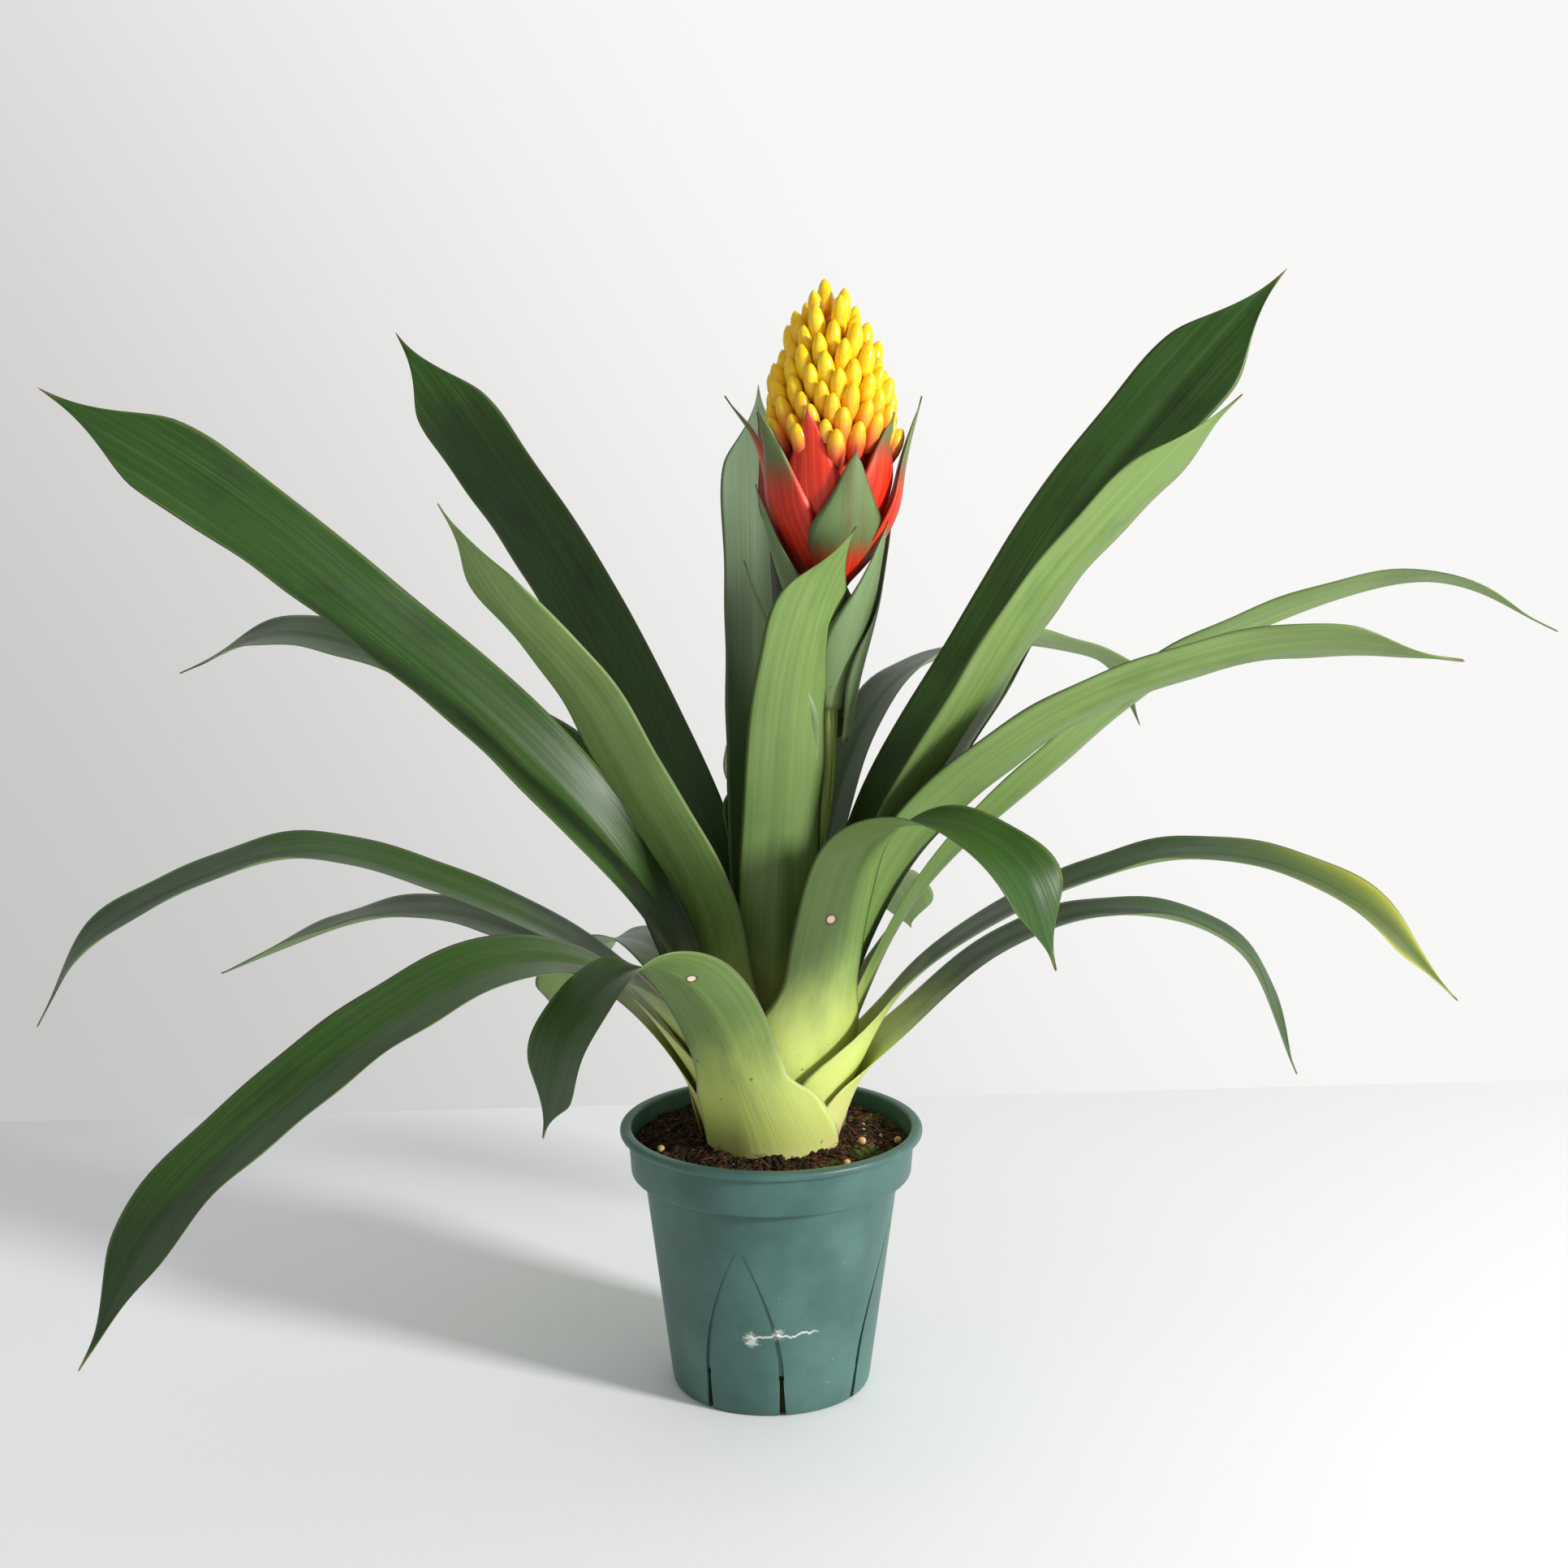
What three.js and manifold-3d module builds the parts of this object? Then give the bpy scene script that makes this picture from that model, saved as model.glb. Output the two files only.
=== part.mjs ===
// A bromeliad in bloom in its nursery pot.
// Frame: millimetres, +Z up, origin on the pot's axis at the surface it stands on.
// The rosette's leaves nest round the pot's axis. Azimuths are degrees, counted from +X towards +Y.

import * as THREE from 'three';
import { mergeVertices } from 'three/addons/utils/BufferGeometryUtils.js';
import Module from 'manifold-3d';

const wasm = await Module();
wasm.setup();

// ---------------------------------------------------------------- driving dimensions

const CLEARANCE = 0.3; // gap kept between touching pieces

// Pot: a thin tapered shell with a straight band under a rolled lip.
const POT_HEIGHT = 135;
const POT_RIM_RADIUS = 76; // outside of the rolled lip
const POT_BAND_HEIGHT = 25; // lip included
const POT_BAND_RADIUS = POT_RIM_RADIUS - 5.5; // outside of the band, at its foot
const POT_BAND_DRAFT = 1.5; // how much wider the band is at its top
const POT_SHOULDER_RADIUS = POT_BAND_RADIUS - 6.5; // outside of the body just under the band
const POT_BASE_RADIUS = POT_SHOULDER_RADIUS - 14; // outside, at the foot
const POT_STEP_HEIGHT = 2; // of the slope from the body out to the band
const POT_LIP_HEIGHT = 4.5;
const POT_FOOT_ROUND = 2;
const POT_WALL = 1.6;
const POT_FLOOR = 2;
const POT_SIDES = 36;

// Four pointed arches pressed into the body, each ending in two open slots at the foot.
const ARCH_COUNT = 4;
const FIRST_ARCH_AZIMUTH = 255;
const ARCH_HEIGHT = 92; // apex above the foot
const ARCH_HALF_WIDTH = 19; // along the wall, at the foot
const ARCH_SPRING = 26; // below this height the arch's sides run straight down
const ARCH_SHARPNESS = 1.7; // how late the sides turn in to the point
const GROOVE_WIDTH = 1.2;
const SLOT_WIDTH = 2.6;
const SLOT_HEIGHT = 21;
const SLOT_REACH = 14; // depth of the cutter, centred on the wall at the foot

// Soil: one body that fills the pot to just below its lip, with a pocket for the crown.
const SOIL_LEVEL = POT_HEIGHT - 7;
const SOIL_SIDES = 40;
const SOIL_MOUND = 1.8; // how far the surface rises round the crown
const POCKET_DEPTH = 8;

// Rosette: every leaf has a layer of its own in the nest, like the coats of a bulb.
// From here on heights are counted from the soil.
const STEM_RADIUS = 5.5;
const STEM_GAP = 0.5; // between the stem and the nest's first layer
const NEST_FLARE = 1.5; // how much wider the nest is at its shoulder
const NEST_WRAP = 1.35; // half angle that a sheath may wrap, radians
const NEST_SHOULDER = 34; // height of the shoulder over the soil
const LEAF_THICKNESS = 0.7;
const LEAF_GAP = 0.6; // between one layer of the nest and the next
const LEAF_WIDTH = 42;
const SHEATH_SPREAD = 0.45; // extra width at the base, as a share of the leaf's width
const BLADE_CUP = 0.42; // half angle of the blade's channel, radians
const CLASP_END = 0.3; // share of a leaf's length that clasps the nest
const LEAF_STATIONS = [0, 0.045, 0.09, 0.14, 0.2, 0.27, 0.35, 0.44, 0.53, 0.62, 0.71, 0.8, 0.87, 0.925, 0.968];
const TIP_TAPER = 0.13; // share of the length in which the blade narrows to its point

// Flower stem, and the cone of buds on it.
const HEAD_FOOT = 312; // where the head joins the stem
const CONE_BASE = 340; // height of the lowest buds
const CONE_TOP = 417;
const CONE_AXIS = 28; // the head stands this far to +X of the pot's axis
const CONE_RADIUS = 22; // of the core that the buds stand on
const BRACT_THICKNESS = 0.7;
const BRACT_GAP = 0.4; // between one bract's base and the next
const BRACT_CUP = 0.5; // half angle of a bract's channel, radians
const BRACT_STATIONS = [0, 0.15, 0.3, 0.45, 0.6, 0.75, 0.88];
const STEM_BRACT_WIDTH = 26;
const HEAD_BRACT_WIDTH = 31;
const HEAD_BRACT_WRAP = 0.56; // half angle that a head bract's base may wrap, radians
const BUD_COUNT = 92;
const BUD_LENGTH = 17;
const BUD_RADIUS = 4;
const GOLDEN_ANGLE = Math.PI * (3 - Math.sqrt(5));

// ---------------------------------------------------------------- colours

const finish = (color, roughness) => new THREE.MeshStandardMaterial({ color, roughness, metalness: 0 });
const POT_GREEN = finish(0x4f746c, 0.55);
const PEAT = finish(0x2e2019, 0.95);
const LEAF_GREEN = finish(0x3f6f2a, 0.35);
const BRACT_GREEN = finish(0x6f8f4c, 0.45);
const BRACT_RED = finish(0xd9381f, 0.45);
const BUD_YELLOW = finish(0xf3b818, 0.35);
const STEM_GREEN = finish(0x9aae57, 0.5);

// ---------------------------------------------------------------- helpers

const radians = THREE.MathUtils.degToRad;
const ease = (from, to, x) => THREE.MathUtils.smoothstep(x, from, to);
const plan = (radius, azimuth, z) =>
  new THREE.Vector3(radius * Math.cos(azimuth), radius * Math.sin(azimuth), z);

const model = new THREE.Group();
model.name = 'potted_bromeliad';

const plant = new THREE.Group();
plant.position.z = SOIL_LEVEL;
model.add(plant);

const head = new THREE.Group();
head.position.x = CONE_AXIS;
plant.add(head);

function add(name, geometry, material, parent) {
  const mesh = new THREE.Mesh(geometry, material);
  mesh.name = name;
  parent.add(mesh);
}

function toSolid(geometry) {
  const bare = geometry.clone();
  bare.deleteAttribute('normal');
  bare.deleteAttribute('uv');
  const merged = mergeVertices(bare, 1e-4);
  return new wasm.Manifold(new wasm.Mesh({
    numProp: 3,
    vertProperties: Float32Array.from(merged.attributes.position.array),
    triVerts: Uint32Array.from(merged.index.array),
  }));
}

function toGeometry(solid) {
  const mesh = solid.getMesh();
  const geometry = new THREE.BufferGeometry();
  geometry.setAttribute('position', new THREE.BufferAttribute(mesh.vertProperties, 3));
  geometry.setIndex(new THREE.BufferAttribute(mesh.triVerts, 1));
  return geometry;
}

function lathe(profile, sides) {
  const geometry = new THREE.LatheGeometry(profile.map(([r, z]) => new THREE.Vector2(r, z)), sides);
  return geometry.rotateX(Math.PI / 2);
}

// A strap with a channelled section and margins that thin to an edge, growing round the Z axis. While it
// clasps the axis its sections are level arcs about it, so straps on different radii nest; past that
// they stand square to the midrib. s runs from 0 at the base to 1 at the point. widthAt(s) and rollAt(s)
// give the width and the turn about the midrib, cupAt(s) the half angle of the free part's channel, wrap
// the half angle that the clasping part may reach and claspEnd where it ends.
function strap(path, stations, { widthAt, rollAt, cupAt, wrap, claspEnd, thickness }) {
  const positions = [];
  const ACROSS = [-1, -0.5, 0, 0.5, 1];
  for (const s of stations) {
    const middle = path.getPointAt(s);
    const along = path.getTangentAt(s);
    const radius = Math.hypot(middle.x, middle.y);
    const azimuth = Math.atan2(middle.y, middle.x);
    const sideways = plan(1, azimuth + Math.PI / 2, 0);
    const square = along.clone().cross(sideways).normalize();
    const freedom = ease(claspEnd / 2, claspEnd, s);
    const inward = plan(-1, azimuth, 0).lerp(square, freedom).normalize();
    const across = sideways.lerp(square.cross(along), freedom).normalize();
    inward.applyAxisAngle(along, rollAt(s));
    across.applyAxisAngle(along, rollAt(s));
    const width = Math.min(widthAt(s), 2 * wrap * radius);
    const cup = THREE.MathUtils.lerp(width / 2 / radius, cupAt(s), ease(claspEnd * 0.8, claspEnd * 1.6, s));
    const bend = width / 2 / cup;
    const point = (u, side) => {
      const normal = inward.clone().multiplyScalar(Math.cos(cup * u)).addScaledVector(across, -Math.sin(cup * u));
      const at = middle.clone().addScaledVector(across, bend * Math.sin(cup * u));
      at.addScaledVector(inward, bend * (1 - Math.cos(cup * u)));
      at.addScaledVector(normal, side * thickness / 2);
      positions.push(at.x, at.y, at.z);
    };
    point(ACROSS[0], 0);
    ACROSS.slice(1, -1).forEach((u) => point(u, -1));
    point(ACROSS[4], 0);
    ACROSS.slice(1, -1).reverse().forEach((u) => point(u, 1));
  }
  const ring = 2 * (ACROSS.length - 1);
  const tip = positions.length / 3;
  const end = path.getPointAt(1);
  positions.push(end.x, end.y, end.z);
  const faces = [];
  for (let k = 0; k + 1 < stations.length; k++) {
    for (let j = 0; j < ring; j++) {
      const a = k * ring + j;
      const b = k * ring + (j + 1) % ring;
      // Both sides are split along the same diagonal, so that they stay parallel where the strap twists.
      if (j < ring / 2) {
        faces.push(a, b, b + ring, a, b + ring, a + ring);
      } else {
        faces.push(a, b, a + ring, b, b + ring, a + ring);
      }
    }
  }
  const last = tip - ring;
  for (let j = 0; j < ring; j++) {
    faces.push(last + j, last + (j + 1) % ring, tip);
  }
  faces.push(0, 7, 1, 1, 7, 6, 1, 6, 2, 2, 6, 5, 2, 5, 3, 3, 5, 4);
  const geometry = new THREE.BufferGeometry();
  geometry.setAttribute('position', new THREE.Float32BufferAttribute(positions, 3));
  geometry.setIndex(faces);
  return geometry;
}

// ---------------------------------------------------------------- pot

const bandFoot = POT_HEIGHT - POT_BAND_HEIGHT;
const bodyRadiusAt = (z) => THREE.MathUtils.mapLinear(
  z, 0, bandFoot, POT_BASE_RADIUS, POT_SHOULDER_RADIUS);

const archHalfAngle = ARCH_HALF_WIDTH / POT_BASE_RADIUS;

function pot() {
  const bandTop = POT_HEIGHT - POT_LIP_HEIGHT;
  const bandTopRadius = POT_BAND_RADIUS + POT_BAND_DRAFT;
  const bandStart = bandFoot + POT_STEP_HEIGHT;
  const lipCorner = POT_LIP_HEIGHT / 4;
  const outer = [
    [0, 0],
    [POT_BASE_RADIUS - POT_FOOT_ROUND, 0],
    [bodyRadiusAt(POT_FOOT_ROUND) - POT_FOOT_ROUND / 5, POT_FOOT_ROUND / 2],
    [bodyRadiusAt(POT_FOOT_ROUND), POT_FOOT_ROUND],
    [bodyRadiusAt(bandFoot), bandFoot],
    [POT_BAND_RADIUS, bandStart],
    [bandTopRadius, bandTop],
    [POT_RIM_RADIUS - lipCorner, bandTop],
    [POT_RIM_RADIUS, bandTop + lipCorner],
    [POT_RIM_RADIUS, POT_HEIGHT - lipCorner],
    [POT_RIM_RADIUS - lipCorner, POT_HEIGHT],
  ];
  const inner = [
    [bandTopRadius - POT_WALL, POT_HEIGHT],
    [POT_BAND_RADIUS - POT_WALL, bandStart],
    [bodyRadiusAt(bandFoot) - POT_WALL, bandFoot - POT_WALL],
    [bodyRadiusAt(POT_FLOOR) - POT_WALL, POT_FLOOR],
    [0, POT_FLOOR],
  ];
  let solid = toSolid(lathe([...outer, ...inner], POT_SIDES));
  for (let k = 0; k < ARCH_COUNT; k++) {
    const azimuth = radians(FIRST_ARCH_AZIMUTH + k * 360 / ARCH_COUNT);
    for (const side of [-1, 1]) {
      solid = solid.subtract(toSolid(archGroove(azimuth, side)));
      solid = solid.subtract(toSolid(archSlot(azimuth, side)));
    }
  }
  return toGeometry(solid);
}

// Half of a pointed arch, as a groove that follows the tapered wall down to the slot's top.
function archGroove(azimuth, side) {
  const steps = 8;
  const points = [plan(bodyRadiusAt(SLOT_HEIGHT), azimuth + side * archHalfAngle, SLOT_HEIGHT)];
  for (let k = 0; k <= steps; k++) {
    const rise = k / steps;
    const z = ARCH_SPRING + (ARCH_HEIGHT - ARCH_SPRING) * rise;
    const radius = bodyRadiusAt(z);
    const halfWidth = ARCH_HALF_WIDTH * (1 - rise ** ARCH_SHARPNESS);
    points.push(plan(radius, azimuth + side * halfWidth / radius, z));
  }
  const section = new THREE.Shape();
  const half = GROOVE_WIDTH / 2;
  section.moveTo(-half, -half).lineTo(half, -half).lineTo(half, half).lineTo(-half, half).closePath();
  return new THREE.ExtrudeGeometry(section, {
    steps: steps + 1,
    extrudePath: new THREE.CatmullRomCurve3(points),
    bevelEnabled: false,
  });
}

// The open slot under a groove, right through the wall and the floor's edge.
function archSlot(azimuth, side) {
  const slot = new THREE.BoxGeometry(SLOT_REACH, SLOT_WIDTH, SLOT_HEIGHT * 2);
  slot.translate(POT_BASE_RADIUS, 0, 0);
  return slot.rotateZ(azimuth + side * archHalfAngle);
}

// ---------------------------------------------------------------- soil

const nestRadius = (layer) => STEM_RADIUS + STEM_GAP + (LEAF_THICKNESS + LEAF_GAP) * layer;

function soil(outermostLayer) {
  const fit = POT_WALL + CLEARANCE;
  const bandStart = bandFoot + POT_STEP_HEIGHT;
  const edgeRadius = POT_BAND_RADIUS - fit;
  const pocketFloor = SOIL_LEVEL - POCKET_DEPTH;
  const pocketLip = SOIL_LEVEL + SOIL_MOUND;
  const pocketRadiusAt = (z) => {
    const flare = THREE.MathUtils.mapLinear(z, pocketFloor, SOIL_LEVEL + NEST_SHOULDER, 1, NEST_FLARE);
    return nestRadius(outermostLayer) * flare + LEAF_THICKNESS + CLEARANCE;
  };
  const between = (share) => THREE.MathUtils.lerp(pocketRadiusAt(pocketLip), edgeRadius, share);
  return lathe([
    [0, POT_FLOOR + CLEARANCE],
    [bodyRadiusAt(POT_FLOOR) - fit, POT_FLOOR + CLEARANCE],
    [bodyRadiusAt(bandFoot) - fit, bandFoot - POT_WALL - CLEARANCE],
    [edgeRadius - CLEARANCE, bandStart + CLEARANCE],
    [edgeRadius, SOIL_LEVEL],
    [between(0.5), SOIL_LEVEL - SOIL_MOUND / 4],
    [between(0.2), pocketLip],
    [pocketRadiusAt(pocketLip), pocketLip],
    [pocketRadiusAt(pocketFloor), pocketFloor],
    [0, pocketFloor],
  ], SOIL_SIDES);
}

// ---------------------------------------------------------------- leaves

// heading: azimuth of the base. sweep: how far the azimuth turns by the tip. roll and tipRoll: turn of
// the blade about its own length. spine: [radius, height] of the midrib past the nest's shoulder.
// The list runs from the innermost layer of the nest outwards, so from the steepest leaf to the lowest.
const LEAVES = [
  { name: 'leaf_back_tall', heading: 93, spine: [[24, 122], [58, 202], [100, 292], [140, 372]] },
  { name: 'leaf_front_upright', heading: 252, sweep: 64,
    spine: [[17, 93], [20, 165], [26, 234], [38, 277], [56, 309]] },
  { name: 'leaf_back_young', heading: 104, width: 30, spine: [[24, 107], [37, 147], [56, 184]] },
  { name: 'leaf_back_right_arched', heading: 46, roll: -17, tipRoll: 30,
    spine: [[42, 152], [85, 217], [150, 234], [225, 228], [285, 208], [308, 174]] },
  { name: 'leaf_left_tall_back', heading: 142, roll: -32,
    spine: [[41, 128], [85, 204], [140, 278], [198, 339], [258, 399]] },
  { name: 'leaf_right_tall', heading: 18, sweep: -8, roll: 42, tipRoll: 22, width: 45,
    spine: [[57, 150], [109, 238], [153, 309], [203, 369], [257, 429]] },
  { name: 'leaf_left_short', heading: 208, roll: 25, tipRoll: -15,
    spine: [[38, 122], [72, 183], [102, 234], [139, 277], [168, 322]] },
  { name: 'leaf_right_steep', heading: 343, roll: -26,
    spine: [[67, 161], [104, 225], [135, 276], [176, 324], [222, 370]] },
  { name: 'leaf_left_long', heading: 176, sweep: 6, roll: -50, tipRoll: -22,
    spine: [[62, 125], [120, 198], [193, 263], [270, 325], [345, 372]] },
  { name: 'leaf_right_front_long', heading: 333, sweep: 14, roll: -28,
    spine: [[66, 147], [127, 207], [182, 237], [256, 256], [324, 250]] },
  { name: 'leaf_back_left_arched', heading: 154, roll: -10, tipRoll: -10,
    spine: [[97, 167], [160, 204], [228, 229], [298, 238], [366, 213]] },
  { name: 'leaf_right_long', heading: 0, sweep: -4, roll: -28, tipRoll: 24,
    spine: [[72, 124], [137, 190], [206, 245], [314, 282], [374, 258]] },
  { name: 'leaf_front_left_long', heading: 212, sweep: 7, roll: -17, tipRoll: 13,
    spine: [[88, 96], [145, 112], [199, 100], [271, 65], [322, 32], [364, -23]] },
  { name: 'leaf_back_drooping', heading: 92, spine: [[70, 117], [140, 157], [220, 157], [290, 107]] },
  { name: 'leaf_front_right_folded', heading: 292, sweep: 26, width: 44,
    spine: [[50, 83], [57, 122], [69, 156], [92, 174], [126, 176], [158, 160], [172, 116]] },
  { name: 'leaf_left_arched', heading: 183, roll: -7, tipRoll: -8,
    spine: [[84, 91], [163, 131], [232, 148], [334, 104], [361, 62]] },
  { name: 'leaf_right_yellowing', heading: 352, roll: 3, tipRoll: 16,
    spine: [[70, 84], [146, 134], [214, 151], [279, 132], [332, 83]] },
  { name: 'leaf_left_arched_far', heading: 160, roll: -4,
    spine: [[68, 62], [116, 85], [174, 99], [228, 94], [320, 55]] },
  { name: 'leaf_right_narrow', heading: 8, tipRoll: 25, width: 38,
    spine: [[66, 54], [113, 92], [175, 110], [240, 90], [275, 20]] },
  { name: 'leaf_back_left_low', heading: 124, spine: [[66, 54], [120, 75], [185, 57], [230, 7]] },
  { name: 'leaf_front_left_folded', heading: 268, sweep: -42, roll: 14, width: 44,
    spine: [[68, 75], [92, 104], [118, 113], [144, 89], [149, 35]] },
  { name: 'leaf_back_low', heading: 70, spine: [[62, 62], [120, 97], [185, 94], [240, 52]] },
];

function leaf({ heading, sweep = 0, roll = 0, tipRoll = 0, width = LEAF_WIDTH, spine }, layer) {
  const base = nestRadius(layer + 1);
  const foot = CLEARANCE - POCKET_DEPTH;
  const midrib = [
    [base, foot],
    [base * (0.55 + 0.45 * NEST_FLARE), (foot + NEST_SHOULDER) / 2],
    [base * NEST_FLARE, NEST_SHOULDER],
    ...spine,
  ];
  const points = midrib.map(([r, z], k) => {
    return plan(r, radians(heading + sweep * k / (midrib.length - 1)), z);
  });
  const sheath = (s) => 1 + SHEATH_SPREAD * (1 - ease(0, CLASP_END, s));
  const taper = (s) => Math.min(1, (1 - s) / TIP_TAPER) ** 0.62;
  return strap(new THREE.CatmullRomCurve3(points), LEAF_STATIONS, {
    widthAt: (s) => width * sheath(s) * taper(s),
    cupAt: (s) => BLADE_CUP * (1 - 0.5 * ease(0.7, 1, s)),
    rollAt: (s) => radians(roll * ease(0.12, 0.45, s) + tipRoll * ease(0.6, 1, s)),
    wrap: NEST_WRAP,
    claspEnd: CLASP_END,
    thickness: LEAF_THICKNESS,
  });
}

// ---------------------------------------------------------------- flower stem, bracts and flower head

// The stem leans out of the nest, then stands upright under the head.
function stem() {
  const foot = CLEARANCE - POCKET_DEPTH;
  const at = (lean, rise) => {
    return new THREE.Vector3(CONE_AXIS * lean, 0, THREE.MathUtils.lerp(foot, HEAD_FOOT - CLEARANCE, rise));
  };
  const path = new THREE.CatmullRomCurve3([
    at(0, 0), at(0, 0.08), at(0.35, 0.3), at(0.85, 0.53), at(1, 0.73), at(1, 1),
  ]);
  const section = new THREE.Shape().absarc(0, 0, STEM_RADIUS, 0, 2 * Math.PI);
  return new THREE.ExtrudeGeometry(section, {
    steps: 14,
    curveSegments: 6,
    extrudePath: path,
    bevelEnabled: false,
  });
}

// azimuth, foot: height where it leaves the stem, spine: [radius, height] about the stem's upright part.
const STEM_BRACTS = [
  { azimuth: 330, foot: 218, spine: [[15, 244], [25, 281], [32, 310]] },
  { azimuth: 198, foot: 224, spine: [[16, 257], [29, 297], [37, 327]] },
  { azimuth: 92, foot: 212, spine: [[17, 242], [30, 277], [38, 304]] },
  { azimuth: 20, foot: 202, spine: [[16, 234], [26, 274], [33, 310]] },
  { azimuth: 140, foot: 194, spine: [[17, 224], [29, 262], [38, 297]] },
  { azimuth: 184, foot: 184, spine: [[18, 217], [31, 257], [41, 290]] },
];

const HEAD_BRACTS = [
  { azimuth: 252, foot: 290, spine: [[21, 303], [30, 324], [32, 344], [35, 365]] },
  { azimuth: 324, foot: 290, spine: [[21, 303], [30, 324], [33, 343], [37, 361]] },
  { azimuth: 36, foot: 290, spine: [[21, 303], [30, 324], [33, 344], [40, 364]] },
  { azimuth: 108, foot: 290, spine: [[21, 303], [30, 324], [33, 344], [38, 362]] },
  { azimuth: 180, foot: 290, spine: [[21, 303], [30, 324], [35, 345], [50, 368]] },
  { azimuth: 288, foot: 277, spine: [[21, 291], [31, 309], [36, 327], [38, 346]] },
  { azimuth: 0, foot: 279, spine: [[22, 293], [33, 313], [37, 338], [44, 368]] },
  { azimuth: 72, foot: 277, spine: [[22, 291], [33, 311], [37, 334], [42, 358]] },
  { azimuth: 144, foot: 277, spine: [[22, 291], [33, 311], [37, 334], [43, 360]] },
  { azimuth: 216, foot: 279, spine: [[19, 293], [29, 313], [34, 338], [42, 364]] },
];

const bractPitch = BRACT_THICKNESS + BRACT_GAP;

function bract({ azimuth, foot, spine }, base, width, wrap) {
  const points = [[base, foot], ...spine].map(([r, z]) => plan(r, radians(azimuth), z));
  return strap(new THREE.CatmullRomCurve3(points), BRACT_STATIONS, {
    widthAt: (s) => width * Math.min(1, 0.55 + 1.5 * s) * (1 - ease(0.35, 1.08, s)) ** 0.8,
    cupAt: () => BRACT_CUP,
    rollAt: () => 0,
    wrap,
    claspEnd: 0.5,
    thickness: BRACT_THICKNESS,
  });
}

// One closed bud, its foot at the origin and its point up the Z axis.
function bud(length, radius) {
  return lathe([[0, 0], [radius, length * 0.4], [radius * 0.75, length * 0.75], [0, length]], 5);
}

const coneRadiusAt = (rise) => CONE_RADIUS * (1 - rise) ** 0.34;
const coneHeightAt = (rise) => THREE.MathUtils.lerp(CONE_BASE, CONE_TOP, rise);

// The cone: a tapered core with buds in a golden-angle spiral, the lowest leaning out, the top ones upright.
function flowerHead() {
  let solid = toSolid(lathe([
    [0, HEAD_FOOT],
    [STEM_RADIUS, HEAD_FOOT],
    [CONE_RADIUS * 0.75, CONE_BASE - 10],
    [CONE_RADIUS, CONE_BASE],
    [coneRadiusAt(0.3), coneHeightAt(0.3)],
    [coneRadiusAt(0.6), coneHeightAt(0.6)],
    [coneRadiusAt(0.85), coneHeightAt(0.85)],
    [0, coneHeightAt(0.95)],
  ], 20));
  for (let k = 0; k < BUD_COUNT; k++) {
    const rise = 1 - Math.sqrt(1 - (k + 0.5) / BUD_COUNT);
    const size = 1 - 0.35 * rise;
    const lean = THREE.MathUtils.lerp(0.78, 0.08, rise);
    const sunk = 2;
    const piece = bud(BUD_LENGTH * size, BUD_RADIUS * size);
    piece.rotateY(lean);
    piece.translate(coneRadiusAt(rise) * (1 - 0.6 * rise ** 4) - sunk, 0, coneHeightAt(rise) - sunk);
    piece.rotateZ(k * GOLDEN_ANGLE);
    solid = solid.add(toSolid(piece));
  }
  return toGeometry(solid);
}

// ---------------------------------------------------------------- assembly

add('pot', pot(), POT_GREEN, model);
add('soil', soil(LEAVES.length), PEAT, model);
LEAVES.forEach((shape, layer) => add(shape.name, leaf(shape, layer), LEAF_GREEN, plant));
add('flower_stem', stem(), STEM_GREEN, plant);
STEM_BRACTS.forEach((shape, k) => {
  const base = STEM_RADIUS + 1 + k * bractPitch;
  add(`stem_bract_${k + 1}`, bract(shape, base, STEM_BRACT_WIDTH, NEST_WRAP), BRACT_GREEN, head);
});
HEAD_BRACTS.forEach((shape, k) => {
  const ring = k < HEAD_BRACTS.length / 2 ? 0 : 2;
  const base = STEM_RADIUS + 2 + ring * bractPitch;
  add(`head_bract_${k + 1}`, bract(shape, base, HEAD_BRACT_WIDTH, HEAD_BRACT_WRAP), BRACT_RED, head);
});
add('flower_head', flowerHead(), BUD_YELLOW, head);

export default model;
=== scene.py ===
# %% [markdown]
# # A bromeliad in flower, in its nursery pot
# The plant is a rosette of channelled strap leaves, a stem with pointed bracts and a cone of waxy
# buds. The frame already holds every piece at its right place, as a coarse solid. What is made
# here is the fine surface of each piece and its finish, so every shape below starts from the
# frame's own solids and stays where they are.

# %% Load the frame
import math

import bpy
import numpy as np
from mathutils import Matrix, Vector


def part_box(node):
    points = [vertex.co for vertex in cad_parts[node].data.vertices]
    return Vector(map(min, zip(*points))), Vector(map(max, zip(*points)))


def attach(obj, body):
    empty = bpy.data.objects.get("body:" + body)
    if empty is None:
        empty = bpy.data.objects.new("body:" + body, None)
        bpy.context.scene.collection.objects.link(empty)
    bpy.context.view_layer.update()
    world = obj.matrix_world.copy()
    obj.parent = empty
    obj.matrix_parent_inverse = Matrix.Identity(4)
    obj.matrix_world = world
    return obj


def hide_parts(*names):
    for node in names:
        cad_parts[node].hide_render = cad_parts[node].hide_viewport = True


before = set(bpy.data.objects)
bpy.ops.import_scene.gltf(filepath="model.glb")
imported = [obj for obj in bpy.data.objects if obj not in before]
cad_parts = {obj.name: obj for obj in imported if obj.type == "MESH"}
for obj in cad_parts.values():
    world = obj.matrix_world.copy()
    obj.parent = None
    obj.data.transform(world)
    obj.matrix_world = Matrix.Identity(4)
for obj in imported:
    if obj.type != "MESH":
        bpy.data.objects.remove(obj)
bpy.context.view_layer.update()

pot_low, pot_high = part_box("pot")
soil_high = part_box("soil")[1]
print("frame", len(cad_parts), "nodes, pot", round(pot_high[2] - pot_low[2], 4), "m tall")

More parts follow.
